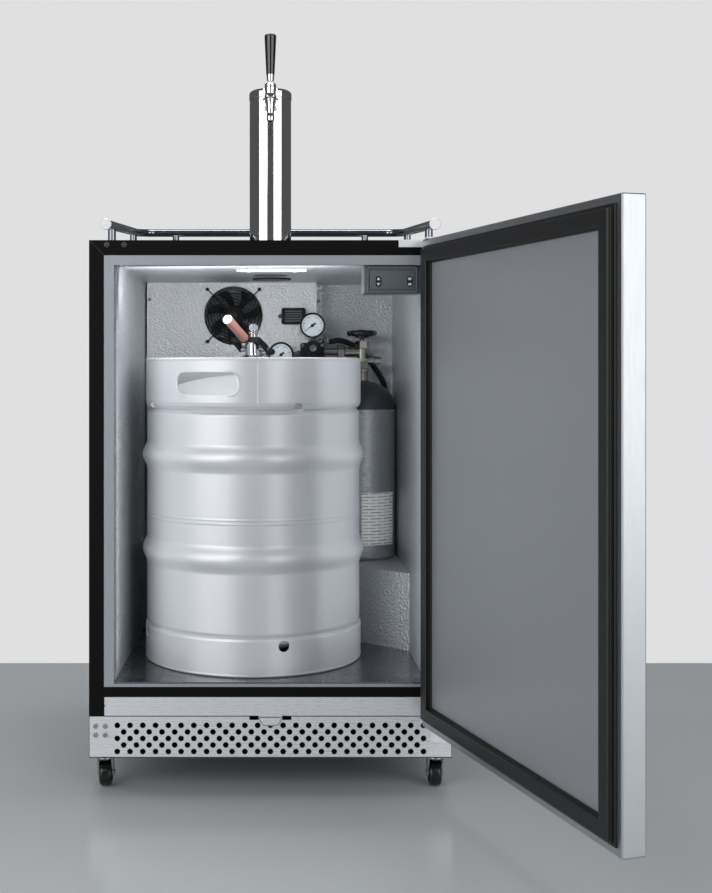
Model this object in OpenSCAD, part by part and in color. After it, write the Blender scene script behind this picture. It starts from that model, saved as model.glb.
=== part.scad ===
// Kegerator: a refrigerated cabinet with a beer keg, its gas supply and a tap tower.
// Millimetres. X points right, Y away from the front, Z up.
// The origin is on the floor under the middle of the cabinet.

/* [Cabinet] */
// overall width of the cabinet
case_w = 600; // [560:1:640]
// depth from the front frame to the back panel
case_d = 570; // [560:1:640]
// height of the top above the floor
case_top = 918; // [900:1:960]
// angle the door stands open
door_angle = 106.6; // [0:0.1:130]
// height of the door
door_h = 793.9; // [780:0.1:795]
// thickness of the door pan
door_t = 33.6; // [25:0.1:40]

/* [Tap tower] */
// outside diameter of the tower column
tower_d = 77; // [63:1:90]
// height of the tower above the top
tower_h = 302; // [250:1:360]
// height of the rail above the top at its front ends
rail_h = 28; // [20:1:40]
// rise of the rail towards the back, degrees
rail_slope = 4.4; // [0:0.1:5]

/* [Contents] */
// outside radius of the keg body
keg_r = 193; // [150:1:194]
// overall height of the keg
keg_h = 538; // [400:1:540]
// outside diameter of the gas cylinder
cyl_d = 133.4; // [100:0.1:134]

/* [Hidden] */
$fn = 48;
hw = case_w / 2;
yb = case_d / 2;
yf = -yb;
skirt_z = 131;
floor_z = 187;
ceil_z = 878.5;
hump_z = 329;
keg_x = -31;
keg_y = fy(220);
keg_z = floor_z;
pin_x = 277.4;
pin_y = fy(-37);
door_in = fy(-12);
door_z = 121.5;
door_hw = 297.5;
tower_y = fy(260);
tap_y = fy(160);
tap_z = 1209;
cyl_x = 184;
cyl_y = fy(457);
reg_x = 84;
reg_y = fy(450);
reg_z = 745;
fan_x = -74.5;
fan_z = 812.5;
cov_y = fy(465);
cast_x = 278;
cast_y = 245;

function fy(d) = -case_d / 2 + d;
function bump(z, c, w) = abs(z - c) < w ? 0.5 + 0.5 * cos(180 * (z - c) / w) : 0;

module box(x0, x1, y0, y1, z0, z1)
    translate([x0, y0, z0]) cube([x1 - x0, y1 - y0, z1 - z0]);
module rodz(x, y, z0, z1, d)
    translate([x, y, z0]) cylinder(d = d, h = z1 - z0);
module rody(x, z, y0, y1, d)
    translate([x, y0, z]) rotate([-90, 0, 0]) cylinder(d = d, h = y1 - y0);
module rodx(y, z, x0, x1, d)
    translate([x0, y, z]) rotate([0, 90, 0]) cylinder(d = d, h = x1 - x0);
module sides() {
    children();
    mirror([1, 0, 0]) children();
}

// plan of the storage space, grown by t
module liner_plan(t)
    polygon([[-258 - t, yf + 15], [258 + t, yf + 15],
        [252 + t, fy(527) + t], [-252 - t, fy(527) + t]]);
// everything behind the slanted face that clears the keg by d
module behind_keg(d, z)
    translate([keg_x, keg_y, 60]) rotate([0, 0, 48.8])
        box(d, 900, -900, 900, 0, z - 60);
module storage_space() difference() {
    translate([0, 0, floor_z - 3]) linear_extrude(ceil_z - floor_z + 3) liner_plan(0);
    behind_keg(200, hump_z);
}
module liner_outside() difference() {
    translate([0, 0, floor_z - 4]) linear_extrude(ceil_z - floor_z + 5) liner_plan(1);
    behind_keg(201, hump_z - 1);
}

// painted steel wrap: sides, top, the deck under the cold space and the compressor bay
module outer_case() color("#2c2d2f") difference() {
    union() {
        sides() box(hw - 1, hw, yf + 1.5, yb - 1, 61.5, case_top);
        box(-hw, hw, yf + 1.5, yb - 1, case_top - 1, case_top);
        difference() {
            box(-hw + 1, hw - 1, yf + 1.5, yb - 1, skirt_z, skirt_z + 1);
            behind_keg(239.5, 300);
        }
        intersection() {
            box(-hw + 1, hw - 1, yf + 1.5, yb - 1, skirt_z, 300);
            difference() {
                behind_keg(239, 290);
                behind_keg(240, 289);
            }
        }
    }
    rodz(0, tower_y, case_top - 3, case_top + 2, 60);
}
module back_panel() color("#3a3b3d") difference() {
    box(-hw, hw, yb - 1, yb, 61.5, case_top);
    for (i = [0:7])
        box(90, 250, yb - 2, yb + 1, 90 + i * 20, 94 + i * 20);
    rody(-240, 95, yb - 2, yb + 1, 12);
}
// pan under the machine bay with the caster plates and king pins
module base_pan() color("#4a4c4e") {
    box(-hw + 1, hw - 1, yf + 1.5, yb - 1, 61.5, 63.5);
    sides() box(262, 295, yf + 20, yb - 20, 63.5, 80);
    for (sx = [-1, 1], sy = [-1, 1])
        translate([sx * cast_x, sy * cast_y, 0]) {
            box(-20, 20, -28, 28, 59, 61.5);
            rodz(0, 0, 54.5, 59, 24);
            rodz(0, 0, 47, 55, 8);
            rodz(0, 0, 47, 50.4, 13);
        }
}
module insulation_foam() color("#e8dfb8") difference() {
    box(-hw + 1, hw - 1, yf + 1.5, yb - 1, skirt_z + 1, case_top - 1);
    liner_outside();
    behind_keg(239, 290);
    box(-275.5, 275.5, yf, yf + 16, 179, 893);
    rodz(0, tower_y, 870, case_top, 60);
}
// embossed aluminium liner with the raised corner over the compressor
module inner_liner() color("#b9bcbf") difference() {
    union() {
        liner_outside();
        box(-275.5, 275.5, yf + 15, yf + 16, 179, 893);
    }
    storage_space();
    translate([0, 0, floor_z - 3]) linear_extrude(ceil_z - floor_z + 3)
        polygon([[-258, yf], [258, yf], [258, yf + 15.5], [-258, yf + 15.5]]);
    rodz(0, tower_y, 870, 890, 60);
}
module front_frame() color("#161719") {
    difference() {
        box(-hw, hw, yf, yf + 1.5, skirt_z, case_top);
        box(-275.5, 275.5, yf - 1, yf + 3, 179, 893);
        box(-274.6, 274.6, yf - 1, yf + 3, skirt_z - 1, 162.3);
        sides() translate([hw, yf, case_top]) rotate([0, 45, 0])
            box(-0.2, 0.2, -1, 0.4, -40, 1);
    }
    for (x = [-270.4, -241.6])
        rody(x, 910.3, yf - 1.2, yf, 9);
}
module opening_trim() color("#7d8083") difference() {
    box(-275.4, 275.4, yf + 0.5, yf + 15, 179, 892.9);
    box(-259, 259, yf, yf + 16, 184, 877);
    sides() translate([275.4, yf + 0.5, 892.9]) rotate([0, 45, 0])
        box(-0.2, 0.2, -1, 0.4, -24, 1);
}
module floor_plate() color("#55585b") {
    difference() {
        translate([0, 0, floor_z - 3]) linear_extrude(3) liner_plan(-0.3);
        behind_keg(199.7, hump_z);
    }
    box(-258.8, 258.8, yf + 0.5, yf + 15, floor_z - 3, floor_z);
}
// sheet cover of the evaporator, open at the back
module evaporator_cover() color("#c3c6c9") difference() {
    union() {
        box(-249, 93, cov_y, fy(527), 345, 878.5);
        box(92, 106, fy(527) - 1, fy(527), 345, 878.5);
    }
    box(-248, 92, cov_y + 1, fy(527) + 5, 346, 877.5);
    rody(fan_x, fan_z, cov_y - 1, cov_y + 3, 113);
    for (i = [0:9])
        box(-210 + i * 30, -192 + i * 30, cov_y - 1, cov_y + 2, 365, 371);
}
module evaporator_coil() color("#aeb4b8") {
    for (i = [0:25])
        box(-234 + i * 12.4, -233.4 + i * 12.4, cov_y + 29, cov_y + 56, 380, 860);
    for (i = [0:7], j = [0, 1])
        rodx(cov_y + 36 + j * 13, 405 + i * 61, -240, 84, 8);
    for (i = [0:6], s = [-1, 1])
        translate([s > 0 ? 80 : -240, cov_y + 49, 405 + i * 61]) box(0, 4, -3, 3, 0, 61);
    for (x = [-240, 80], z = [436, 800])
        box(x, x + 4, cov_y + 46, fy(527), z, z + 12);
}
module fan_housing() color("#1b1c1e") translate([fan_x, 0, fan_z]) {
    difference() {
        box(-60, 60, cov_y + 1, cov_y + 26, -60, 60);
        rody(0, 0, cov_y, cov_y + 27, 113);
    }
    rody(0, 0, cov_y + 20.4, cov_y + 26, 38);
    rody(0, 0, cov_y + 6, cov_y + 21, 4);
    for (a = [45:90:315]) rotate([0, a, 0])
        box(18, 58, cov_y + 23, cov_y + 26, -2.5, 2.5);
}
module fan_guard() color("#111214") translate([fan_x, 0, fan_z]) {
    for (i = [0:8])
        translate([0, cov_y - 5, 0]) rotate([90, 0, 0]) rotate_extrude()
            translate([8 + i * 6.2, 0]) circle(d = 2.2);
    for (a = [45:90:315]) rotate([0, a, 0]) {
        rodx(cov_y - 4.6, 0, 7, 74, 2);
        rody(74.2, 0, cov_y - 5.6, cov_y, 7);
    }
}
module fan_rotor() color("#202124") translate([fan_x, 0, fan_z]) difference() {
    union() {
        rody(0, 0, cov_y + 4, cov_y + 20, 40);
        for (i = [0:6]) rotate([0, i * 360 / 7, 0]) translate([0, cov_y + 12, 0])
            rotate([35, 0, 0]) box(16, 53.5, -0.9, 0.9, -10, 10);
    }
    rody(0, 0, cov_y + 5.5, cov_y + 21, 4.1);
}
module sensor_housing() color("#17181a") translate([46.6, 0, 811]) difference() {
    union() {
        box(-24.2, 24.2, cov_y - 11, cov_y, -12.5, 12.5);
        box(-20.2, 20.2, cov_y - 11, cov_y, -16.5, 16.5);
        for (sx = [-1, 1], sz = [-1, 1])
            rody(sx * 20.2, sz * 12.5, cov_y - 11, cov_y, 8);
        for (sx = [-1, 1])
            rody(sx * 29, 0, cov_y - 2.4, cov_y, 8);
    }
    for (i = [-3:3])
        box(-17, 17, cov_y - 12, cov_y - 9.5, i * 4 - 0.8, i * 4 + 0.8);
}
module ceiling_lamp() color("#e9e9e4") {
    box(-59, 63, fy(119), fy(139), ceil_z - 3, ceil_z);
    for (x = [-38, 2, 42])
        rodz(x, fy(129), ceil_z - 4, ceil_z - 3, 8);
}
module control_housing() color("#1d1e20") difference() {
    union() {
        box(155, 250, fy(5), fy(16), 830, 876.5);
        box(155, 250, fy(16), fy(60), 830, ceil_z);
    }
    box(167.6, 242.2, fy(4), fy(6.2), 835, 865.6);
    for (x = [179.2, 231.2], z = [845.6, 854.4])
        rody(x, z, fy(4), fy(16), 7);
    box(192, 218, fy(4), fy(6.8), 841, 859);
}
module control_button(i) color("#c9cbcc")
    rody(i < 3 ? 179.2 : 231.2, i % 2 == 1 ? 854.4 : 845.6, fy(5.4), fy(13), 6.2);
// stainless strip below the door opening with the latch strike
module lower_trim() color("#b4b7ba") {
    difference() {
        box(-274.4, 274.4, yf - 0.6, yf + 1.4, skirt_z + 0.7, 162.2);
        box(-275, -272, yf - 1, yf + 2, 146, 150);
    }
    difference() {
        box(-19.5, 19.5, yf - 4, yf - 0.6, 116, 136);
        sides() translate([19.5, 0, 126]) rotate([0, 38, 0]) box(0, 20, yf - 5, yf, -30, 0);
        box(-30, 30, yf - 5, yf - 2.4, 130, 137);
    }
}
module kick_plate() color("#a9acaf") difference() {
    union() {
        box(-299, 299, yf, yf + 1, 63.5, 130);
        sides() box(297.8, 298.9, yf + 1, yf + 22, 63.6, 130);
    }
    box(-34.7, 34.7, yf - 1, yf + 2, 124.5, 131);
    for (r = [0:4], c = [0:(r % 2 == 0 ? 24 : 23)])
        rody((c - (r % 2 == 0 ? 12 : 11.5)) * 21.1, 115.5 - r * 10.8, yf - 1, yf + 2, 9.5);
}
module panel_screws() color("#c6c8ca") {
    for (x = [-289, -273], z = [99.8, 114.4]) difference() {
        union() {
            rody(x, z, yf - 1.4, yf, 8.5);
            rody(x, z, yf - 2.3, yf - 1.4, 6);
        }
        box(x - 0.6, x + 0.6, yf - 3, yf - 1, z - 2.2, z + 2.2);
        box(x - 2.2, x + 2.2, yf - 3, yf - 1, z - 0.6, z + 0.6);
    }
    rody(99.5, 845, fy(527) - 3.8, fy(527) - 1.3, 7);
    rody(-244, 845, cov_y - 2.2, cov_y, 7);
}
// top and bottom hinge brackets with the pins the door turns on
module hinge_brackets() color("#b9bcbe") {
    box(212, 276, yf - 2.5, yf, 906.3, 918.5);
    box(252, 290, pin_y - 12, yf - 2.5, 916, 918.5);
    rodz(pin_x, pin_y, 900, 917, 8);
    rody(236, 911.5, yf - 4, yf - 2.5, 8);
    box(265, 299, yf - 3, yf, 88, 120.7);
    box(258, 296, pin_y - 12, yf - 3, 118.2, 120.7);
    rodz(pin_x, pin_y, 119, 136, 8);
    rody(274.4, 95.3, yf - 4.6, yf - 3, 8);
}
module cooling_unit() color("#222325") {
    rodz(190, fy(458), 70, 205, 142);
    translate([190, fy(458), 205]) scale([1, 1, 0.45]) sphere(d = 142);
    for (sx = [-1, 1], sy = [-1, 1])
        rodz(190 + sx * 50, fy(458) + sy * 50, 63.5, 76, 20);
    box(126, 254, fy(394), fy(522), 72, 76);
    for (i = [0:34])
        box(-250 + i * 9, -249.2 + i * 9, fy(50), fy(150), 66, 126);
    for (i = [0:4], j = [0:2])
        rodx(fy(62 + i * 19), 78 + j * 18, -256, 62, 7);
    sides() translate([-97, 0, 0]) box(154, 158, fy(54), fy(146), 63.5, 126);
    rody(-30, 78, fy(140), fy(300), 7);
    rodx(fy(300), 78, -33.5, 110, 7);
    rody(110, 78, fy(296.5), fy(400), 7);
    rodx(fy(400), 78, 106.5, 150, 7);
}

module door_pose()
    translate([pin_x, pin_y, 0]) rotate([0, 0, door_angle]) translate([-pin_x, -pin_y, 0])
        children();
module door_box(t, y0, y1)
    box(-door_hw + t, door_hw - t, y0, y1, door_z + t, door_z + door_h - t);
module door_skin() color("#b6b9bc") door_pose() difference() {
    door_box(0, door_in - door_t, door_in);
    door_box(1, door_in - door_t + 1, door_in - 1);
    door_box(12, door_in - 5, door_in + 1);
    rodz(pin_x, pin_y, door_z - 1, door_z + 3, 14);
    rodz(pin_x, pin_y, door_z + door_h - 3, door_z + door_h + 1, 14);
}
// inner panel with the foam behind it and the two hinge bushes
module door_core() color("#8b8e91") door_pose() difference() {
    union() {
        door_box(1, door_in - door_t + 1, door_in - 1);
        door_box(12.2, door_in - 2, door_in);
        rodz(pin_x, pin_y, door_z + 0.3, door_z + 3, 14);
        rodz(pin_x, pin_y, door_z + door_h - 3, door_z + door_h - 0.3, 14);
    }
    rodz(pin_x, pin_y, door_z - 1, door_z + 16, 8.12);
    rodz(pin_x, pin_y, door_z + door_h - 17, door_z + door_h + 1, 8.12);
}
module gasket_ring(a, b, y0, y1) difference() {
    door_box(a, y0, y1);
    door_box(b, y0 - 1, y1 + 1);
}
module door_gasket() color("#121314") door_pose() {
    gasket_ring(11, 40, door_in, door_in + 3);
    gasket_ring(17, 37, door_in + 3, door_in + 4.4);
    gasket_ring(15.6, 39, door_in + 4.4, door_in + 5.8);
    gasket_ring(17.4, 36, door_in + 5.8, door_in + 7.2);
    gasket_ring(16.6, 37.5, door_in + 7.2, door_in + 10.6);
}
module door_handle() color("#bfc2c4") door_pose() {
    rodx(door_in - door_t - 50, 860, -200, 200, 16);
    for (x = [-160, 160]) {
        rody(x, 860, door_in - door_t - 50, door_in - door_t, 11);
        rody(x, 860, door_in - door_t - 4, door_in - door_t, 22);
    }
}

// bright guard rail round the top, open at the front
module guard_rail() color("#c9ccce") {
    translate([0, fy(12), case_top + rail_h]) rotate([rail_slope, 0, 0]) {
        sides() rody(273.6, 0, 0, 488, 15.6);
        sides() rody(273.6, 0, -2.4, 0, 19);
        rodx(528, 0, -233.6, 233.6, 15.6);
        sides() translate([233.6, 488, 0]) rotate_extrude(angle = 90)
            translate([40, 0]) circle(d = 15.6);
    }
    for (p = [[94, 1], [440, 1]])
        sides() rail_post(273.6, p[0]);
    sides() rail_post(196, 539);
}
module rail_post(x, d) {
    rodz(x, fy(d), case_top, case_top + rail_h + (d - 12) * tan(rail_slope), 13.5);
    rodz(x, fy(d), case_top, case_top + 2, 23);
}
module tower_column() color("#d5d7d9") translate([0, tower_y, 0]) difference() {
    union() {
        rodz(0, 0, case_top, case_top + tower_h - 13, tower_d);
        rodz(0, 0, case_top, case_top + 7, 112);
    }
    rodz(0, 0, case_top - 1, case_top + tower_h, tower_d - 5);
    rody(0, 1189, -60, -30, 22);
}
module tower_cap() color("#d5d7d9") translate([0, tower_y, 0]) difference() {
    union() {
        rodz(0, 0, case_top + tower_h - 13, case_top + tower_h - 1.5, tower_d + 1.5);
        rodz(0, 0, case_top + tower_h - 1.5, case_top + tower_h, tower_d - 1);
        rodz(0, 0, case_top + tower_h - 17, case_top + tower_h - 12, tower_d - 5.2);
    }
    rodz(0, 0, case_top + tower_h - 18, case_top + tower_h - 14, tower_d - 12);
}
module faucet_body() color("#cfd2d4") difference() {
    union() {
        rody(0, 1189, tower_y - tower_d / 2 - 6, tower_y - 20, 22);
        rody(0, 1189, tower_y - 32, tower_y - 24, 30);
        rody(0, 1189, tower_y - tower_d / 2 - 6, tower_y - tower_d / 2, 32);
        rody(0, 1189, tap_y - 6, tower_y - tower_d / 2 - 5, 24);
        rody(0, 1189, tap_y - 14, tap_y, 19);
        rodz(0, tap_y, 1180, 1213, 21);
        translate([0, tap_y - 2, 1187]) rotate([8, 0, 0]) rodz(0, 0, -44, 0, 14);
        translate([0, tap_y - 2, 1187]) rotate([8, 0, 0]) rodz(0, 0, -12, 0, 19);
    }
    rodz(0, tap_y, 1193, 1214, 12.4);
    translate([0, tap_y - 2, 1187]) rotate([8, 0, 0]) rodz(0, 0, -46, -8, 9);
    rody(0, 1189, tower_y - 33, tower_y - 10, 8);
    rodx(tap_y, tap_z, -12, 12, 3);
}
module faucet_lever() color("#cfd2d4") difference() {
    union() {
        translate([0, tap_y, tap_z]) sphere(d = 11);
        rodz(0, tap_y, tap_z - 8, tap_z, 4);
        rodz(0, tap_y, tap_z, 1220, 6.5);
        rodz(0, tap_y, 1217.5, 1228.6, 13);
        rodz(0, tap_y, 1225, 1227, 14.4);
    }
    rodx(tap_y, tap_z, -12, 12, 3.1);
}
module tap_handle() color("#141416") {
    translate([0, tap_y, 1228.6]) cylinder(d1 = 15, d2 = 21, h = 66);
    translate([0, tap_y, 1294.6]) cylinder(d1 = 21, d2 = 15, h = 5.4);
}
module drip_tray() color("#b9bcbe") difference() {
    box(-100, 100, fy(121), fy(201), case_top, case_top + 10);
    box(-98, 98, fy(123), fy(199), case_top + 1.5, case_top + 11);
}
module drip_grate() color("#c5c8ca") difference() {
    box(-97.5, 97.5, fy(123.5), fy(198.5), case_top + 1.5, case_top + 10);
    box(-96, 96, fy(125), fy(197), case_top + 1, case_top + 8.5);
    for (i = [0:14])
        box(-88 + i * 12, -80 + i * 12, fy(131), fy(191), case_top + 5, case_top + 11);
}

function keg_side(z) = keg_r + 8 * bump(z, 196, 24) + 8 * bump(z, 365, 24)
    - 3 * bump(z, 64, 10) - 6.5 * bump(z, 450, 12) + 0.6 * bump(z, 260, 4);
function keg_outline(t) = concat(
    [for (a = [0:10:80]) [(190 - t) * sin(a), 64 - (46 - t) * cos(a)]],
    [for (z = [64:4:452]) [keg_side(z) - t, z]],
    [for (a = [10:10:90]) [(190 - t) * cos(a), 452 + (56 - t) * sin(a)]]);
module chime(z0, z1, bead) {
    rotate_extrude() polygon([[193.4, z0], [195.5, z0], [195.5, z1], [193.4, z1]]);
    rotate_extrude() translate([192.6, bead]) circle(d = 7);
}
module keg_shell() color("#c9cccf") translate([keg_x, keg_y, keg_z]) difference() {
    union() {
        rotate_extrude() difference() {
            polygon(keg_outline(0));
            polygon(keg_outline(2));
        }
        chime(459, keg_h - 3.5, keg_h - 3.5);
        chime(3.5, 60, 3.5);
        rotate_extrude() polygon([[186.4, 450.5], [188.4, 449], [195.5, 459], [193.4, 461]]);
        rotate_extrude() polygon([[188.5, 65], [190, 67], [195.5, 60], [193.4, 58]]);
        rodz(0, 0, 498, 516, 62);
    }
    rodz(0, 0, 480, 520, 50);
    for (a = [-24, 156]) rotate([0, 0, a]) {
        box(-44, 44, -210, -170, 473, 513);
        box(-60, 60, -210, -170, 489, 497);
        for (sx = [-1, 1], sz = [-1, 1])
            rody(sx * 44, 493 + sz * 4, -210, -170, 32);
    }
    for (a = [24:90:294]) rotate([0, 0, a]) intersection() {
        rody(0, 451, -210, -188, 19);
        box(-10, 10, -211, -187, 451, 461);
    }
    for (a = [16:90:286]) rotate([0, 0, a]) rody(0, 52, -210, -186.5, 16);
}
module keg_valve() color("#b3b6b9") translate([keg_x, keg_y, keg_z]) {
    rodz(0, 0, 490, 514, 50);
    rodz(0, 0, 30, 490, 22);
}
module coupler_pose()
    translate([keg_x, keg_y, 703]) rotate([0, 0, -26.8]) children();
module coupler_body() color("#c8cbcd") coupler_pose() difference() {
    union() {
        rodz(0, 0, 0, 12, 66);
        rodz(0, 0, 12, 24, 52);
        rodz(0, 0, 24, 54, 30);
        rody(0, 34, 9, 34, 15);
        rody(0, 34, 27, 34, 19);
        for (s = [-1, 1]) {
            rodx(0, 39, s > 0 ? 9 : -30, s > 0 ? 30 : -9, 6);
            rodx(0, 39, s > 0 ? 9 : -24, s > 0 ? 24 : -9, 12.6);
        }
    }
    rodz(0, 0, -1, 55, 14.12);
    rody(0, 34, 20, 35, 8);
}
module coupler_probe() color("#d3d5d7") coupler_pose() difference() {
    union() {
        rodz(0, 0, 12, 84, 14);
        rodz(0, 0, 66, 70, 18);
        translate([0, 0, 73]) cylinder(d = 19, h = 8, $fn = 6);
    }
    rodz(0, 0, 11, 85, 7);
}
module lever_pose() coupler_pose() translate([0, 0, 39]) rotate([-27, 0, 0]) children();
module coupler_handle() color("#3b3c3f") difference() {
    lever_pose() {
        for (s = [-1, 1]) {
            rodx(0, 0, s > 0 ? 24.6 : -27.6, s > 0 ? 27.6 : -24.6, 14);
            box(s > 0 ? 24.6 : -27.6, s > 0 ? 27.6 : -24.6, -36, 0, -5, 5);
        }
        box(-27.6, 27.6, -37, -32, -5, 5);
        rody(0, 0, -106, -36, 9);
    }
    coupler_pose() rodx(0, 39, -31, 31, 6.1);
}
module coupler_grip() color("#6b4f49") lever_pose() difference() {
    rody(0, 0, -112, -39, 17);
    rody(0, 0, -106, -38, 9);
}

module co2_cylinder() color("#c3c6c8") translate([cyl_x, cyl_y, hump_z]) difference() {
    rotate_extrude() polygon(concat([[0, 6], [40, 2], [cyl_d / 2 - 8, 0], [cyl_d / 2, 8]],
        [[cyl_d / 2, 295]],
        [for (a = [10:10:70]) [16 + (cyl_d / 2 - 16) * cos(a), 295 + 56 * sin(a)]],
        [[20, 350], [20, 364], [0, 364]]));
    rotate_extrude() polygon(concat([[0, 12], [cyl_d / 2 - 10, 8], [cyl_d / 2 - 5, 14]],
        [[cyl_d / 2 - 5, 295]],
        [for (a = [10:10:70]) [10 + (cyl_d / 2 - 16) * cos(a), 295 + 50 * sin(a)]],
        [[12, 344], [12, 365], [0, 365]]));
}
module co2_valve() color("#b0a070") translate([cyl_x, cyl_y, hump_z]) difference() {
    union() {
        rodz(0, 0, 346, 364, 23.8);
        rodz(0, 0, 364, 372, 34);
        rodz(0, 0, 372, 424, 26);
        translate([0, 0, 424]) cylinder(d = 28, h = 8, $fn = 6);
        rodx(0, 410, -35, 0, 19);
        rodx(0, 400, 0, 24, 14);
        translate([22, 0, 400]) rotate([0, 90, 0]) cylinder(d = 16, h = 8, $fn = 6);
    }
    rodz(0, 0, 420, 433, 9.12);
}
module co2_handwheel() color("#151618") translate([cyl_x, cyl_y, hump_z]) {
    rodz(0, 0, 420.5, 437, 9);
    rodz(0, 0, 437, 453, 24);
    difference() {
        rodz(0, 0, 439, 455, 61);
        rodz(0, 0, 438, 456, 45);
    }
    for (a = [0:60:300]) rotate([0, 0, a]) box(8, 24, -3.5, 3.5, 441, 452);
}
// pressure regulator with its inlet stem and union nut
module regulator_body() color("#17181a") translate([reg_x, reg_y, reg_z]) difference() {
    union() {
        box(-24, 24, -14, 15, -36, 12);
        rody(0, 0, -38, -14, 32);
        for (x = [-19.5, 19.5], z = [-30, 6.6])
            rody(x, z, -18, -14, 8);
        rodx(7, -6, 24, 58, 14);
        translate([50, 7, -6]) rotate([0, 90, 0]) cylinder(d = 30, h = 15, $fn = 6);
        rodz(0, 0, 12, 22, 10);
        translate([0, 0, 12]) cylinder(d = 17, h = 9, $fn = 6);
        rodx(0, -12, -38.3, -24, 12);
        rodx(7, 5, 20, 26, 12);
        rodx(7, 15, 14, 33, 13);
        translate([14, 7, 8]) cylinder(d = 14, h = 7);
        translate([22, 7, 15]) rotate([0, 90, 0]) cylinder(d = 18, h = 8, $fn = 6);
    }
    rody(0, 0, -39, -12, 12.12);
}
module regulator_screw() color("#d0d2d4") translate([reg_x, reg_y, reg_z]) {
    rody(0, 0, -46, -14, 12);
    rody(0, 0, -52, -46, 15);
}
module gauge(x, z) translate([x, reg_y, z]) difference() {
    union() {
        rody(0, 0, -16, 3.5, 49);
        rody(0, 0, -18.5, -16, 51);
    }
    rody(0, 0, -19, -13, 43);
}
module pressure_gauges() color("#c9cbcd") {
    gauge(reg_x, reg_z + 46.5);
    gauge(21.2, reg_z - 12);
    rody(reg_x, reg_z + 46.5, reg_y - 17, reg_y - 12, 3);
    rody(21.2, reg_z - 12, reg_y - 17, reg_y - 12, 3);
}
module needle(x, z, a) translate([x, reg_y, z]) rotate([0, a, 0]) difference() {
    union() {
        rody(0, 0, -16.2, -14.6, 7);
        box(-1, 1, -16.2, -15.2, -6, 16);
    }
    rody(0, 0, -18, -12, 3.1);
}
module gauge_needle_1() color("#c02a20") needle(reg_x, reg_z + 46.5, -127);
module gauge_needle_2() color("#c02a20") needle(21.2, reg_z - 12, -127);

// free gas hose: from the regulator, behind the cylinder valve and over to the coupler
hose_pts = [[117.3, reg_y + 7, 760], [124, 172.6, 760], [138, 181, 762], [160, 200, 757], [184, 213, 742],
    [208, 218, 714], [229, 221, 682], [233, 225, 662], [220, 232, 653], [196, 235, 664],
    [160, 235, 669], [128, 227, 663], [109, 206, 660], [101, 182, 664], [84, 162, 669],
    [52, 153, 678], [18, 149, 692], [-10, 148, 712], [-21, 141, 733], [-22, 125, 743],
    [-15, 95, 742], [-2, 50, 738], [3, 10, 737], [-1.5, -8, 737], [-11, -25.5, 737],
    [-15.4, -34.3, 737]];
function cr(p0, p1, p2, p3, t) = 0.5 * ((2 * p1) + (p2 - p0) * t
    + (2 * p0 - 5 * p1 + 4 * p2 - p3) * t * t + (3 * p1 - p0 - 3 * p2 + p3) * t * t * t);
function pick(p, i) = p[max(0, min(len(p) - 1, i))];
function smooth(p, n) = concat([for (i = [0:len(p) - 2], k = [0:n - 1])
    cr(pick(p, i - 1), p[i], p[i + 1], pick(p, i + 2), k / n)], [p[len(p) - 1]]);
function unit(v) = v / norm(v);
module tube_along(p, r, m) {
    n = len(p);
    rings = [for (i = [0:n - 1]) let (
        t = unit(pick(p, i + 1) - pick(p, i - 1)),
        u = unit(cross(t, abs(t[2]) > 0.9 ? [0, 1, 0] : [0, 0, 1])),
        v = cross(t, u))
        [for (k = [0:m - 1]) p[i] + r * (cos(k * 360 / m) * u + sin(k * 360 / m) * v)]];
    pts = [for (g = rings) for (q = g) q];
    polyhedron(pts, concat(
        [[for (k = [0:m - 1]) k]],
        [for (i = [0:n - 2], k = [0:m - 1])
            [i * m + (k + 1) % m, i * m + k, (i + 1) * m + k, (i + 1) * m + (k + 1) % m]],
        [[for (k = [m - 1:-1:0]) (n - 1) * m + k]]), convexity = 8);
}
module gas_hose() color("#1a1b1d") tube_along(smooth(hose_pts, 3), 6, 10);

module caster_at(i)
    translate([(i % 2 == 1 ? -1 : 1) * cast_x, (i < 3 ? -1 : 1) * cast_y, 0]) children();
module caster_fork(i) color("#cdd0d2") caster_at(i) {
    difference() {
        union() {
            rodz(0, 0, 51, 54, 30);
            box(-13.5, 13.5, -4, 18, 51, 54);
            for (s = [-1, 1]) hull() {
                box(s > 0 ? 10.5 : -13.5, s > 0 ? 13.5 : -10.5, -6, 18, 51, 54);
                rodx(12, 22, s > 0 ? 10.5 : -13.5, s > 0 ? 13.5 : -10.5, 14);
            }
        }
        rodz(0, 0, 50, 55, 8.12);
    }
    rodx(12, 22, -14.5, 14.5, 6);
}
module caster_wheel(i) color("#17181a") caster_at(i) difference() {
    union() {
        rodx(12, 22, -9, 9, 44);
        rodx(12, 22, -10, 10, 40);
    }
    rodx(12, 22, -11, 11, 6.12);
}

outer_case();
back_panel();
base_pan();
insulation_foam();
inner_liner();
front_frame();
opening_trim();
floor_plate();
evaporator_cover();
evaporator_coil();
fan_housing();
fan_guard();
fan_rotor();
sensor_housing();
ceiling_lamp();
control_housing();
control_button(1);  // control_button_1
control_button(2);  // control_button_2
control_button(3);  // control_button_3
control_button(4);  // control_button_4
lower_trim();
kick_plate();
panel_screws();
hinge_brackets();
cooling_unit();
door_skin();
door_core();
door_gasket();
door_handle();
guard_rail();
tower_column();
tower_cap();
faucet_body();
faucet_lever();
tap_handle();
drip_tray();
drip_grate();
keg_shell();
keg_valve();
coupler_body();
coupler_probe();
coupler_handle();
coupler_grip();
co2_cylinder();
co2_valve();
co2_handwheel();
regulator_body();
regulator_screw();
pressure_gauges();
gauge_needle_1();
gauge_needle_2();
gas_hose();
caster_fork(1);  // caster_fork_1
caster_fork(2);  // caster_fork_2
caster_fork(3);  // caster_fork_3
caster_fork(4);  // caster_fork_4
caster_wheel(1);  // caster_wheel_1
caster_wheel(2);  // caster_wheel_2
caster_wheel(3);  // caster_wheel_3
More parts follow.
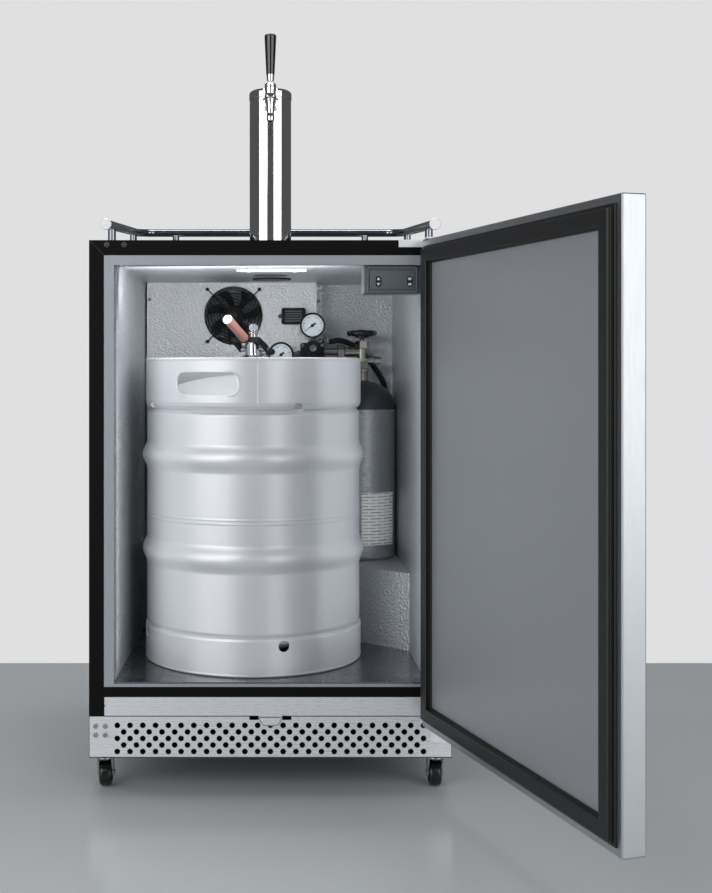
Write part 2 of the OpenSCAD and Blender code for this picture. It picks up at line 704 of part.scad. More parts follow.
caster_wheel(4);  // caster_wheel_4
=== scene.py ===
"""Kegerator: a refrigerated cabinet with its door open, a beer keg, its gas supply and a tap tower."""

import math

import bmesh
import bpy
from mathutils import Matrix, Vector


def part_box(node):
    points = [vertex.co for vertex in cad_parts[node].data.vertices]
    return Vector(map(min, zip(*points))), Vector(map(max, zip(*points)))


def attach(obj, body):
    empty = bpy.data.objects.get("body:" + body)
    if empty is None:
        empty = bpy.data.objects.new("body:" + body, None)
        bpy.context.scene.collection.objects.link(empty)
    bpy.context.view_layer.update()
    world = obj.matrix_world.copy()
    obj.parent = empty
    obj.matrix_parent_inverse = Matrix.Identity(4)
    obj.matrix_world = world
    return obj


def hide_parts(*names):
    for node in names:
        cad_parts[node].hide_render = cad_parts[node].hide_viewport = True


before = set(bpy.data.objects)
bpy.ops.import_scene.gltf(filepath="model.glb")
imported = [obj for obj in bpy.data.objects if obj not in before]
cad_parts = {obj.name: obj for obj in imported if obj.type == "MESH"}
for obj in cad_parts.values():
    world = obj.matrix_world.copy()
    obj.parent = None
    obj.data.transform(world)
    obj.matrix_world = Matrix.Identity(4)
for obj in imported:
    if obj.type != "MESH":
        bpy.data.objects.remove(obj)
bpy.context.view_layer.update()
SCENE = bpy.context.scene
MM = 0.001

# ---- Viewpoint ---------------------------------------------------------------
# Level and a little above the middle of the cabinet, square to its front, with the
# cabinet left of the middle so that the open door has room on the right.
EYE = (0.0, -2.395, 0.7065)
LENS_MM, SENSOR_MM = 51.44009, 36.0
SHIFT_X, SHIFT_Y = 0.095857, -0.087906
camera_data = bpy.data.cameras.new("camera")
camera_data.sensor_width = SENSOR_MM
camera_data.lens = LENS_MM
camera_data.shift_x = SHIFT_X
camera_data.shift_y = SHIFT_Y
camera = bpy.data.objects.new("camera", camera_data)
camera.location = EYE
camera.rotation_euler = (math.radians(90), 0, 0)
SCENE.collection.objects.link(camera)
SCENE.camera = camera
SCENE.view_settings.view_transform = "Standard"


# ---- Floor and light ---------------------------------------------------------
# A pale, slightly glossy studio floor that ends behind the cabinet and a pale surround.
# Two soft boxes stand left and right of the viewer with a gap between them, which gives
# round chrome its dark middle line; small lamps inside the opening light the cold space.
def linear(code):
    parts = [int(code[i:i + 2], 16) / 255 for i in (1, 3, 5)]
    return tuple(c / 12.92 if c <= 0.04045 else ((c + 0.055) / 1.055) ** 2.4 for c in parts) + (1.0,)


def node(tree, kind, inputs=None, **settings):
    made = tree.nodes.new(kind)
    for key, value in settings.items():
        setattr(made, key, value)
    for key, value in (inputs or {}).items():
        if isinstance(value, bpy.types.NodeSocket):
            tree.links.new(value, made.inputs[key])
        else:
            made.inputs[key].default_value = value
    return made


def finish(name, colour, roughness, metallic=0.0, **shader):
    """A finish with one shader; its pattern is added by the section that uses it."""
    made = bpy.data.materials.new(name)
    made.use_nodes = True
    made.node_tree.nodes.clear()
    values = {"Base Color": linear(colour), "Roughness": roughness, "Metallic": metallic}
    values.update({key.replace("_", " "): value for key, value in shader.items()})
    surface = node(made.node_tree, "ShaderNodeBsdfPrincipled", values)
    node(made.node_tree, "ShaderNodeOutputMaterial", {"Surface": surface.outputs[0]})
    return made, made.node_tree, surface


floor_finish, tree, surface = finish("studio_floor", "#b0b4b7", 0.2)
where = node(tree, "ShaderNodeTexCoord")
grain = node(tree, "ShaderNodeTexNoise", {"Vector": where.outputs["Object"], "Scale": 3.0})
mix = node(tree, "ShaderNodeMapRange", {"Value": grain.outputs["Fac"], "To Min": 0.16, "To Max": 0.22})
tree.links.new(mix.outputs[0], surface.inputs["Roughness"])
FLOOR = (-5.0, 5.0, -6.0, 0.66)
floor_mesh = bpy.data.meshes.new("studio_floor")
x0, x1, y0, y1 = FLOOR
floor_mesh.from_pydata([(x0, y0, 0), (x1, y0, 0), (x1, y1, 0), (x0, y1, 0)], [], [(0, 1, 2, 3)])
floor_mesh.materials.append(floor_finish)
floor = bpy.data.objects.new("studio_floor", floor_mesh)
SCENE.collection.objects.link(floor)

world = bpy.data.worlds.new("studio")
world.use_nodes = True
world.node_tree.nodes["Background"].inputs["Color"].default_value = linear("#f2f2f3")
AMBIENT, AMBIENT_MIRRORED, BACKDROP = 0.36, 0.12, 0.84
path = node(world.node_tree, "ShaderNodeLightPath")
ambient = node(world.node_tree, "ShaderNodeMapRange",
               {"Value": path.outputs["Is Diffuse Ray"], "To Min": AMBIENT_MIRRORED, "To Max": AMBIENT})
seen = node(world.node_tree, "ShaderNodeMath", {0: path.outputs["Is Camera Ray"], 1: BACKDROP},
            operation="MULTIPLY")
strength = node(world.node_tree, "ShaderNodeMath", {0: seen.outputs[0], 1: ambient.outputs[0]},
                operation="MAXIMUM")
world.node_tree.links.new(strength.outputs[0], world.node_tree.nodes["Background"].inputs["Strength"])
SCENE.world = world


def lamp(name, place, aim, size, power, mirrored=False):
    """A soft lamp; only a mirrored one shows in polished metal."""
    data = bpy.data.lights.new(name, "AREA")
    data.shape = "RECTANGLE"
    data.size, data.size_y = size
    data.energy = power
    made = bpy.data.objects.new(name, data)
    made.location = place
    made.rotation_euler = (Vector(aim) - Vector(place)).to_track_quat("-Z", "Y").to_euler()
    made.visible_camera = False
    made.visible_glossy = mirrored
    SCENE.collection.objects.link(made)


lamp("softbox_left", (-2.7, -3.1, 1.5), (0.0, 0.0, 0.75), (3.4, 3.0), 74, True)
lamp("softbox_right", (2.6, -3.2, 1.5), (0.0, 0.0, 0.75), (3.3, 3.0), 76, True)
lamp("key", (-1.5, -3.2, 2.3), (0.0, 0.0, 0.6), (1.2, 1.6), 12, True)
lamp("overhead", (0.0, 0.2, 3.4), (0.0, 0.0, 0.0), (1.6, 1.2), 34, True)
lamp("door_side", (-3.4, 0.4, 1.2), (0.4, -0.6, 0.5), (2.0, 2.2), 30)
lamp("rear", (-0.8, 3.6, 1.8), (0.0, 0.0, 0.6), (3.0, 2.2), 26)
lamp("under_ceiling", (-0.06, -0.256, 0.85), (0.0, 0.3, 0.72), (0.36, 0.03), 1.3)
lamp("inside_right", (0.236, -0.262, 0.5), (0.2, 0.3, 0.5), (0.02, 0.6), 0.5)
lamp("inside_left", (-0.236, -0.262, 0.5), (-0.22, 0.3, 0.5), (0.02, 0.6), 0.3)
lamp("right_side", (3.6, 0.6, 1.6), (0.0, 0.0, 0.6), (1.6, 2.2), 8)


# ---- Gas hose ----------------------------------------------------------------
# A black corrugated gas hose from the regulator's outlet, behind the cylinder valve and
# down into the corner, then under the regulator and over the keg's rim to the coupler.
def turned(shape, profile, foot, along=(0, 0, 1), steps=48, loop=False):
    """Adds a turned form; profile holds (radius, height) pairs measured from foot."""
    axis = Vector(along).normalized()
    side = axis.orthogonal().normalized()
    other = axis.cross(side)
    rings = []
    for radius, height in profile:
        centre = Vector(foot) + axis * height
        if radius < 1e-7:
            rings.append([shape.verts.new(centre)])
            continue
        turns = [math.tau * i / steps for i in range(steps)]
        rings.append([shape.verts.new(centre + radius * (math.cos(a) * side + math.sin(a) * other))
                      for a in turns])
    if loop:
        rings.append(rings[0])
    for low, high in zip(rings, rings[1:]):
        for i in range(max(len(low), len(high))):
            j = i + 1
            corners = [low[i % len(low)], low[j % len(low)], high[j % len(high)], high[i % len(high)]]
            corners = list(dict.fromkeys(corners))
            if len(corners) > 2:
                shape.faces.new(corners)


def mm(pairs):
    """Scales (radius, height) or (u, v) pairs from millimetres."""
    return [(a * MM, b * MM) for a, b in pairs]


def swept(shape, path, radii, sides=16):
    """Adds a round bar along path; radii is one radius or one for each point."""
    path = [Vector(p) for p in path]
    if isinstance(radii, (int, float)):
        radii = [radii] * len(path)
    ahead = [(path[min(i + 1, len(path) - 1)] - path[max(i - 1, 0)]).normalized() for i in range(len(path))]
    side = ahead[0].orthogonal().normalized()
    rings = []
    for point, way, radius in zip(path, ahead, radii):
        side = (side - way * side.dot(way)).normalized()
        other = way.cross(side)
        turns = [math.tau * i / sides for i in range(sides)]
        rings.append([shape.verts.new(point + radius * (math.cos(a) * side + math.sin(a) * other))
                      for a in turns])
    for low, high in zip(rings, rings[1:]):
        for i in range(sides):
            j = (i + 1) % sides
            shape.faces.new((low[i], low[j], high[j], high[i]))
    shape.faces.new(rings[0])
    shape.faces.new(rings[-1])


def curve_through(points, steps):
    """Points on one smooth curve through the given points."""
    points = [Vector(p) for p in points]
    ends = [points[0]] + points + [points[-1]]
    out = []
    for a, b, c, d in zip(ends, ends[1:], ends[2:], ends[3:]):
        for i in range(steps):
            t = i / steps
            out.append(0.5 * (2 * b + (c - a) * t + (2 * a - 5 * b + 4 * c - d) * t * t
                              + (3 * b - a - 3 * c + d) * t * t * t))
    return out + [points[-1]]


def piece(name, shape, material, body, instead_of=(), crease=38):
    """Makes the built shape an object that rides on a body; tagged faces stay flat."""
    bmesh.ops.recalc_face_normals(shape, faces=shape.faces)
    for edge in shape.edges:
        edge.smooth = edge.calc_face_angle(0) < math.radians(crease)
    for face in shape.faces:
        face.smooth = not face.tag
    mesh = bpy.data.meshes.new(name)
    shape.to_mesh(mesh)
    shape.free()
    mesh.materials.append(material)
    made = bpy.data.objects.new(name, mesh)
    SCENE.collection.objects.link(made)
    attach(made, body)
    if instead_of:
        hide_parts(*instead_of)
    return made


def speckle(tree, surface, size_mm, rough_low, rough_high, depth_mm=0.0, stretch=(1, 1, 1), detail=2.0):
    """Uneven gloss, and a fine relief, whose grains are size_mm across."""
    where = node(tree, "ShaderNodeTexCoord")
    mapped = node(tree, "ShaderNodeMapping", {"Vector": where.outputs["Object"], "Scale": stretch})
    grain = node(tree, "ShaderNodeTexNoise",
                 {"Vector": mapped.outputs[0], "Scale": 1000.0 / size_mm, "Detail": detail})
    spread = node(tree, "ShaderNodeMapRange",
                  {"Value": grain.outputs["Fac"], "From Min": 0.3, "From Max": 0.7,
                   "To Min": rough_low, "To Max": rough_high})
    tree.links.new(spread.outputs[0], surface.inputs["Roughness"])
    if depth_mm:
        relief = node(tree, "ShaderNodeBump",
                      {"Height": grain.outputs["Fac"], "Distance": depth_mm * MM, "Strength": 1.0})
        tree.links.new(relief.outputs[0], surface.inputs["Normal"])


HOSE_ROUTE = [(117.3, 172, 760), (124, 172.6, 760), (138, 181, 762), (160, 200, 757), (184, 213, 742),
              (208, 218, 714), (229, 221, 682), (233, 225, 662), (220, 232, 653), (196, 235, 664),
              (160, 235, 669), (128, 227, 663), (109, 206, 660), (101, 182, 664), (84, 162, 669),
              (52, 153, 678), (18, 149, 692), (-10, 148, 712), (-21, 141, 733), (-22, 125, 743),
              (-15, 95, 742), (-2, 50, 738), (3, 10, 737), (-1.5, -8, 737), (-11, -25.5, 737),
              (-15.4, -34.3, 737)]
HOSE_RADIUS = 6 * MM
RIB_PITCH = 3.6 * MM
route = curve_through([Vector(p) * MM for p in HOSE_ROUTE], 40)
spaced, run = [route[0]], 0.0
for a, b in zip(route, route[1:]):
    run += (b - a).length
    if run >= RIB_PITCH / 4:
        spaced.append(b)
        run = 0.0
shape = bmesh.new()
swept(shape, spaced, [HOSE_RADIUS - (0.9 * MM if i % 4 in (0, 1) else 0.0) for i in range(len(spaced))], 14)
rubber, tree, surface = finish("hose_rubber", "#161618", 0.5, Specular_IOR_Level=0.45)
speckle(tree, surface, 1.2, 0.42, 0.6, 0.03)
hose = piece("gas_hose_ribbed", shape, rubber, "cabinet", ["gas_hose"], crease=60)


# ---- Base and casters --------------------------------------------------------
# A folded steel base pan with four swivel casters: plated forks, riveted king pins and
# black rubber wheels on plain axles.
def block(shape, low, high, bevel=0.0, steps=2):
    """Adds a box with rounded edges; its six large faces are tagged flat."""
    made = bmesh.ops.create_cube(shape, size=1.0)["verts"]
    low, high = Vector(low), Vector(high)
    for vert in made:
        vert.co = Vector(low[i] + (high[i] - low[i]) * (vert.co[i] + 0.5) for i in range(3))
    faces = list({face for vert in made for face in vert.link_faces})
    for face in faces:
        face.tag = True
    if bevel:
        edges = list({edge for vert in made for edge in vert.link_edges})
        out = bmesh.ops.bevel(shape, geom=edges, offset=bevel, segments=steps, profile=0.5, affect="EDGES")
        for face in out["faces"]:
            face.tag = False
        made = list({vert for face in out["faces"] for vert in face.verts}
                    | {vert for face in faces if face.is_valid for vert in face.verts})
    return made


def turn_about(verts, matrix):
    for vert in verts:
        vert.co = matrix @ vert.co


def prism(shape, outline, low, high, plane="XZ"):
    """Adds a flat shape given by its outline, from low to high across its plane."""
    def place(u, v, w):
        return {"XZ": (u, w, v), "YZ": (w, u, v), "XY": (u, v, w)}[plane]
    near = [shape.verts.new(place(u, v, low)) for u, v in outline]
    far = [shape.verts.new(place(u, v, high)) for u, v in outline]
    caps = [shape.faces.new(near), shape.faces.new(far)]
    for i in range(len(near)):
        j = (i + 1) % len(near)
        shape.faces.new((near[i], near[j], far[j], far[i]))
    for face in caps:
        face.tag = True
    return near + far


def arc(centre, radius, start, stop, steps):
    turns = [math.radians(start + (stop - start) * i / steps) for i in range(steps + 1)]
    return [(centre[0] + radius * math.cos(a), centre[1] + radius * math.sin(a)) for a in turns]


dark_coat, tree, surface = finish("dark_coated_steel", "#45484b", 0.42, 0.6)
speckle(tree, surface, 2.5, 0.36, 0.5, 0.02)
plated, tree, surface = finish("bright_plating", "#c2c5c8", 0.3, 1.0)
speckle(tree, surface, 6.0, 0.18, 0.3)
tyre, tree, surface = finish("caster_rubber", "#101011", 0.2)
speckle(tree, surface, 1.6, 0.16, 0.26, 0.02)
hub_plastic, tree, surface = finish("wheel_hub_plastic", "#2b2c2e", 0.35)
speckle(tree, surface, 3.0, 0.3, 0.4)
WHEEL_R, AXLE_BACK, AXLE_Z = 22 * MM, 12 * MM, 22 * MM
for i in range(1, 5):
    low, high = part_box(f"caster_wheel_{i}")
    hub = (Vector(low) + Vector(high)) / 2
    half = (high[0] - low[0]) / 2
    shape = bmesh.new()
    tread = [(8 * MM, -half + 2 * MM), (15 * MM, -half + 2 * MM), (15.5 * MM, -half + 0.2 * MM),
             (18.5 * MM, -half), (20.6 * MM, -half + 1.2 * MM), (21.8 * MM, -half + 3.4 * MM),
             (WHEEL_R, -half + 6 * MM)]
    tread += [(r, -h) for r, h in reversed(tread)]
    turned(shape, tread + [tread[0]], hub, (1, 0, 0), 64)
    piece(f"wheel_{i}_tyre", shape, tyre, f"wheel_{i}", [f"caster_wheel_{i}"])
    shape = bmesh.new()
    turned(shape, [(3.2 * MM, -half + 0.4 * MM), (6.5 * MM, -half + 0.4 * MM), (7.5 * MM, -half + 2.6 * MM),
                   (12 * MM, -half + 3 * MM), (15.2 * MM, -half + 2.1 * MM), (15.2 * MM, half - 2.1 * MM),
                   (12 * MM, half - 3 * MM), (7.5 * MM, half - 2.6 * MM), (6.5 * MM, half - 0.4 * MM),
                   (3.2 * MM, half - 0.4 * MM)], hub, (1, 0, 0), 40, loop=True)
    piece(f"wheel_{i}_hub", shape, hub_plastic, f"wheel_{i}")
    x, y = hub.x, hub.y - AXLE_BACK
    shape = bmesh.new()
    turned(shape, mm([(4.1, 51), (14, 51), (15, 51.6), (15, 53.4), (14, 54), (4.1, 54)]), (x, y, 0),
           steps=48, loop=True)
    for side in (-1, 1):
        cheek = [(y - 9 * MM, 52.6 * MM), (y - 6 * MM, 54 * MM), (y + 15 * MM, 54 * MM),
                 (y + 18.5 * MM, 51.5 * MM)]
        cheek += list(reversed(arc((hub.y, AXLE_Z), 7 * MM, 180, 360, 12)))
        inner, outer = x + side * 10.6 * MM, x + side * 13.4 * MM
        prism(shape, cheek, min(inner, outer), max(inner, outer), "YZ")
        turned(shape, mm([(0, 0), (5, 0), (5, 0.8), (3.6, 1.6), (0, 1.7)]),
               (x + side * 13.4 * MM, hub.y, AXLE_Z), (side, 0, 0), 24)
    block(shape, (x - 13.4 * MM, y - 6 * MM, 51.2 * MM), (x + 13.4 * MM, y + 16 * MM, 53.8 * MM), 0.6 * MM)
    turned(shape, mm([(0, -13.2), (3, -13.2), (3, 13.2), (0, 13.2)]), hub, (1, 0, 0), 20)
    piece(f"fork_{i}_plated", shape, plated, f"fork_{i}", [f"caster_fork_{i}"])


def dress(name, material):
    """Gives a carried-over solid its finish."""
    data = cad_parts[name].data
    data.materials.clear()
    data.materials.append(material)


dress("base_pan", dark_coat)


# ---- Cabinet wrap ------------------------------------------------------------
# Charcoal painted steel sides and top in one folded sheet, with a galvanised back.
wrap_paint, tree, surface = finish("charcoal_paint", "#2b2c2e", 0.4, Coat_Weight=0.2, Coat_Roughness=0.3)
speckle(tree, surface, 1.4, 0.36, 0.46, 0.02)
dress("outer_case", wrap_paint)
galvanised, tree, surface = finish("galvanised_sheet", "#8d9194", 0.4, 0.9)
where = node(tree, "ShaderNodeTexCoord")
SPANGLE_MM = 9.0
spangle = node(tree, "ShaderNodeTexVoronoi",
               {"Vector": where.outputs["Object"], "Scale": 1000 / SPANGLE_MM})
spread = node(tree, "ShaderNodeMapRange", {"Value": spangle.outputs["Color"], "To Min": 0.3, "To Max": 0.5})
tree.links.new(spread.outputs[0], surface.inputs["Roughness"])
dress("back_panel", galvanised)
foam, tree, surface = finish("insulation_foam", "#d8c98f", 0.9)
speckle(tree, surface, 1.5, 0.85, 0.95, 0.1)
dress("insulation_foam", foam)
machine_black, tree, surface = finish("compressor_enamel", "#17181a", 0.35)
speckle(tree, surface, 2.0, 0.3, 0.42, 0.03)
dress("cooling_unit", machine_black)

# ---- Liner -------------------------------------------------------------------
# Mill-finish aluminium rolled with an orange-peel pattern, folded into a box; the raised
# corner covers the compressor. The floor is a plain dark steel plate.
PEBBLE_MM = 4.4


def embossed(name, colour, roughness, relief_mm, metallic=0.5):
    """Orange-peel embossed aluminium: irregular rounded pebbles a few millimetres across."""
    made, tree, surface = finish(name, colour, roughness, metallic)
    where = node(tree, "ShaderNodeTexCoord")
    warp = node(tree, "ShaderNodeTexNoise",
                {"Vector": where.outputs["Object"], "Scale": 1000 / (3 * PEBBLE_MM)})
    bent = node(tree, "ShaderNodeVectorMath",
                {0: warp.outputs["Color"], 1: (0.004, 0.004, 0.004), 2: where.outputs["Object"]},
                operation="MULTIPLY_ADD")
    pebbles = node(tree, "ShaderNodeTexVoronoi",
                   {"Vector": bent.outputs[0], "Scale": 1000 / PEBBLE_MM, "Smoothness": 0.6},
                   feature="SMOOTH_F1")
    relief = node(tree, "ShaderNodeBump",
                  {"Height": pebbles.outputs["Distance"], "Distance": relief_mm * MM, "Strength": 1.0},
                  invert=True)
    tree.links.new(relief.outputs[0], surface.inputs["Normal"])
    spread = node(tree, "ShaderNodeMapRange",
                  {"Value": pebbles.outputs["Distance"], "From Max": 0.7, "To Min": roughness - 0.06,
                   "To Max": roughness + 0.1})
    tree.links.new(spread.outputs[0], surface.inputs["Roughness"])
    return made


liner_sheet = embossed("embossed_aluminium", "#b4b9be", 0.3, 2.0)
dress("inner_liner", liner_sheet)
floor_steel, tree, surface = finish("floor_plate_steel", "#7d8185", 0.24, 0.9)
speckle(tree, surface, 9.0, 0.18, 0.3)
dress("floor_plate", floor_steel)
frame_black, tree, surface = finish("frame_black_paint", "#0a0a0b", 0.5, Specular_IOR_Level=0.1)
speckle(tree, surface, 1.4, 0.44, 0.56, 0.01)
dress("front_frame", frame_black)
trim_grey, tree, surface = finish("trim_anodised", "#a3a8b0", 0.4, 0.5)
speckle(tree, surface, 1.0, 0.32, 0.44, 0.0, (1, 1, 0.05))
dress("opening_trim", trim_grey)
shape = bmesh.new()
FRONT = -285 * MM
FRAME_SCREWS, MITRE = ((-270.4, 910.3), (-241.6, 910.3)), 0.35
for x, z in FRAME_SCREWS:
    turned(shape, mm([(0, 0), (4.6, 0), (4.6, 1.3), (3.8, 1.9), (2.3, 2.2), (1.9, 1.6), (0, 1.4)]),
           (x * MM, FRONT, z * MM), (0, -1, 0), 32)
piece("frame_screws", shape, dark_coat, "cabinet")
shape = bmesh.new()
for way in (-1, 1):
    joint = [(way * (299 - MITRE), 917.4), (way * (299 + MITRE), 917.4), (way * (275.6 + MITRE), 893.6),
             (way * (275.6 - MITRE), 893.6)]
    prism(shape, mm(joint), -285.06 * MM, -284.6 * MM)
piece("frame_mitre_lines", shape, dark_coat, "cabinet")

# ---- Evaporator cover, fan and sensor ----------------------------------------
# A folded cover of the same embossed sheet over a finned coil, given a lighter colour than
# the liner's as painted light for the light it catches. A black wire guard on four legs
# screws over the fan's opening, and a small black sensor box sits to its right.
# painted light: the cover is a lighter copy of the liner's embossed sheet, standing in for the light on it
painted_lighter_cover_sheet = embossed("embossed_cover_painted_light", "#dfe2e5", 0.3, 2.0)
dress("evaporator_cover", painted_lighter_cover_sheet)
fins, tree, surface = finish("coil_fins", "#b9bec2", 0.35, 0.9)
speckle(tree, surface, 2.0, 0.3, 0.45)
dress("evaporator_coil", fins)
moulded, tree, surface = finish("moulded_black", "#151618", 0.42)
speckle(tree, surface, 0.9, 0.36, 0.5, 0.02)
dress("fan_housing", moulded)
low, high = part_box("sensor_housing")
SENSOR = Vector(((low[0] + high[0]) / 2, high[1], (low[2] + high[2]) / 2))


def rounded(half_wide, half_high, radius, steps=6):
    """Outline of a rectangle with rounded corners, in millimetres about its middle."""
    u, v = half_wide - radius, half_high - radius
    return (arc((u, v), radius, 0, 90, steps) + arc((-u, v), radius, 90, 180, steps)
            + arc((-u, -v), radius, 180, 270, steps) + arc((u, -v), radius, 270, 360, steps))


def loft(shape, outlines, place, closed=False):
    """Joins outlines of equal length given as (outline, depth); place turns (u, v, depth) into a point."""
    rings = [[shape.verts.new(place(u * MM, v * MM, depth * MM)) for u, v in outline]
             for outline, depth in outlines]
    if closed:
        rings.append(rings[0])
    for a, b in zip(rings, rings[1:]):
        for i in range(len(a)):
            j = (i + 1) % len(a)
            shape.faces.new((a[i], a[j], b[j], b[i]))
    if not closed:
        shape.faces.new(rings[0])
        shape.faces.new(rings[-1])


def on_cover(u, v, depth):
    return SENSOR + Vector((u, -depth, v))


shape = bmesh.new()
loft(shape, [(rounded(24.2, 16.5, 4), 0), (rounded(24.2, 16.5, 4), 9.4), (rounded(23, 15.3, 3.4), 11),
             (rounded(21, 13.4, 2.6), 11),
             (rounded(20, 12.4, 2), 9.6), (rounded(20, 12.4, 2), 6.5)], on_cover)
for way in (-1, 1):
    turned(shape, mm([(0, 0), (4, 0), (4, 1.6), (3.4, 2.4), (0, 2.4)]),
           SENSOR + Vector((way * 27 * MM, 0, 0)), (0, -1, 0), 24)
piece("sensor_box", shape, moulded, "cabinet", ["sensor_housing"])
slat_grey, tree, surface = finish("sensor_slats", "#54585c", 0.4)
speckle(tree, surface, 0.9, 0.34, 0.46)
shape = bmesh.new()
for row in range(-2, 3):
    block(shape, SENSOR + Vector((-17, -9.8, row * 5 - 1.3)) * MM,
          SENSOR + Vector((17, -6.3, row * 5 + 1.3)) * MM, 0.8 * MM)
piece("sensor_slats", shape, slat_grey, "cabinet")
shape = bmesh.new()
for way in (-1, 1):
    turned(shape, mm([(0, 2.5), (3, 2.5), (2.8, 3.4), (1.6, 4), (1.2, 3.5), (0, 3.3)]),
           SENSOR + Vector((way * 27 * MM, 0, 0)), (0, -1, 0), 20)
piece("sensor_screws", shape, plated, "cabinet")
low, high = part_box("fan_guard")
FAN = Vector(((low[0] + high[0]) / 2, low[1] + 2 * MM, (low[2] + high[2]) / 2))
WIRE_R, RINGS, FIRST_RING, RING_STEP = 1.1 * MM, 9, 8 * MM, 6.2 * MM


def grown(name, tree, values, material):
    """Runs a node tree once and returns its result as a built shape."""
    holder = bpy.data.objects.new(name, bpy.data.meshes.new(name))
    SCENE.collection.objects.link(holder)
    tool = holder.modifiers.new(name, "NODES")
    tool.node_group = tree
    sockets = {item.name: item.identifier for item in tree.interface.items_tree if item.in_out == "INPUT"}
    for key, value in values.items():
        tool[sockets[key]] = value
    result = bpy.data.meshes.new_from_object(holder.evaluated_get(bpy.context.evaluated_depsgraph_get()))
    shape = bmesh.new()
    shape.from_mesh(result)
    bpy.data.objects.remove(holder)
    bpy.data.meshes.remove(result)
    return shape


def new_tree(name, inputs):
    """An empty geometry tree with named inputs and a geometry output."""
    tree = bpy.data.node_groups.new(name, "GeometryNodeTree")
    for key, kind in inputs:
        tree.interface.new_socket(key, in_out="INPUT", socket_type=kind)
    tree.interface.new_socket("Geometry", in_out="OUTPUT", socket_type="NodeSocketGeometry")
    return tree, node(tree, "NodeGroupInput").outputs


tree, given = new_tree("guard_rings", [("Rings", "NodeSocketInt"), ("First", "NodeSocketFloat"),
                                       ("Step", "NodeSocketFloat"), ("Wire", "NodeSocketFloat"),
                                       ("Material", "NodeSocketMaterial")])
spots = node(tree, "GeometryNodeMeshLine", {"Count": given["Rings"], "Offset": (0, 0, 0)})
circle = node(tree, "GeometryNodeCurvePrimitiveCircle", {"Resolution": 72, "Radius": 1.0})
index = node(tree, "GeometryNodeInputIndex")
reach = node(tree, "ShaderNodeMath", {0: index.outputs[0], 1: given["Step"], 2: given["First"]},
             operation="MULTIPLY_ADD")
rings = node(tree, "GeometryNodeInstanceOnPoints",
             {"Points": spots.outputs[0], "Instance": circle.outputs[0], "Scale": reach.outputs[0]})
real = node(tree, "GeometryNodeRealizeInstances", {"Geometry": rings.outputs[0]})
section = node(tree, "GeometryNodeCurvePrimitiveCircle", {"Resolution": 10, "Radius": given["Wire"]})
wire = node(tree, "GeometryNodeCurveToMesh",
            {"Curve": real.outputs[0], "Profile Curve": section.outputs[0]})
painted = node(tree, "GeometryNodeSetMaterial",
               {"Geometry": wire.outputs[0], "Material": given["Material"]})
node(tree, "NodeGroupOutput", {"Geometry": painted.outputs[0]})
shape = grown("guard_rings", tree, {"Rings": RINGS, "First": FIRST_RING, "Step": RING_STEP, "Wire": WIRE_R,
                                    "Material": moulded}, moulded)
bmesh.ops.transform(shape, matrix=Matrix.Translation(FAN) @ Matrix.Rotation(math.radians(90), 4, "X"),
                    verts=shape.verts)
EAR_R = 74.2 * MM
for quarter in range(4):
    angle = math.radians(45 + 90 * quarter)
    way = Vector((math.cos(angle), 0, math.sin(angle)))
    swept(shape, [FAN + way * 6 * MM + Vector((0, 1.4 * MM, 0)),
                  FAN + way * 62 * MM + Vector((0, 1.4 * MM, 0)),
                  FAN + way * 66 * MM + Vector((0, 2.4 * MM, 0)),
                  FAN + way * EAR_R + Vector((0, 2.6 * MM, 0))], 1.2 * MM, 10)
    turned(shape, mm([(0, -3.2), (2.4, -3.2), (3.4, -2.2), (3.6, 0), (3.6, 4), (0, 4)]),
           FAN + way * EAR_R, (0, 1, 0), 24)
turned(shape, mm([(0, 0.3), (7.4, 0.3), (7.4, 1.6), (0, 1.6)]), FAN, (0, 1, 0), 32)
piece("fan_wire_guard", shape, moulded, "cabinet", ["fan_guard"])
low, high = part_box("fan_rotor")
hub = (Vector(low) + Vector(high)) / 2
HUB_R, BLADE_R, BLADES = 19.5 * MM, 53.6 * MM, 7
shape = bmesh.new()
front_y, back_y = low[1], high[1]
turned(shape, [(0, 0), (HUB_R - 3 * MM, 0), (HUB_R - 1 * MM, 0.6 * MM), (HUB_R, 2.5 * MM),
               (HUB_R, back_y - front_y - 0.2 * MM),
               (2.05 * MM, back_y - front_y - 0.2 * MM), (2.05 * MM, 1.5 * MM), (0, 1.5 * MM)],
       (hub.x, front_y, hub.z), (0, 1, 0), 48)
for k in range(BLADES):
    rows = []
    for step in range(9):
        r = HUB_R - 1 * MM + (BLADE_R - HUB_R + 1 * MM) * step / 8
        lean = math.radians(46 - 20 * step / 8)
        chord = (15 + 9 * step / 8) * MM
        sweep = math.radians(14 * (step / 8) ** 2)
        row = []
        for t in (-0.5, -0.25, 0.0, 0.25, 0.5):
            across = t * chord * math.cos(lean)
            depth = t * chord * math.sin(lean) - 1.2 * MM * (1 - 4 * t * t)
            angle = math.tau * k / BLADES + sweep + across / r
            row.append((r * math.cos(angle), depth, r * math.sin(angle)))
        rows.append(row)
    faces = []
    for wall in (-0.6 * MM, 0.6 * MM):
        grid = [[shape.verts.new(hub + Vector((x, y + wall, z))) for x, y, z in row] for row in rows]
        faces.append(grid)
    near, far = faces
    for grid in faces:
        for a, b in zip(grid, grid[1:]):
            for i in range(4):
                shape.faces.new((a[i], a[i + 1], b[i + 1], b[i]))
    rim = [near[0][i] for i in range(5)] + [near[j][4] for j in range(1, 9)]
    rim += [near[8][i] for i in (3, 2, 1, 0)] + [near[j][0] for j in range(7, 0, -1)]
    back = [far[0][i] for i in range(5)] + [far[j][4] for j in range(1, 9)]
    back += [far[8][i] for i in (3, 2, 1, 0)] + [far[j][0] for j in range(7, 0, -1)]
    for i in range(len(rim)):
        j = (i + 1) % len(rim)
        shape.faces.new((rim[i], rim[j], back[j], back[i]))
piece("fan_blades", shape, moulded, "fan", ["fan_rotor"])

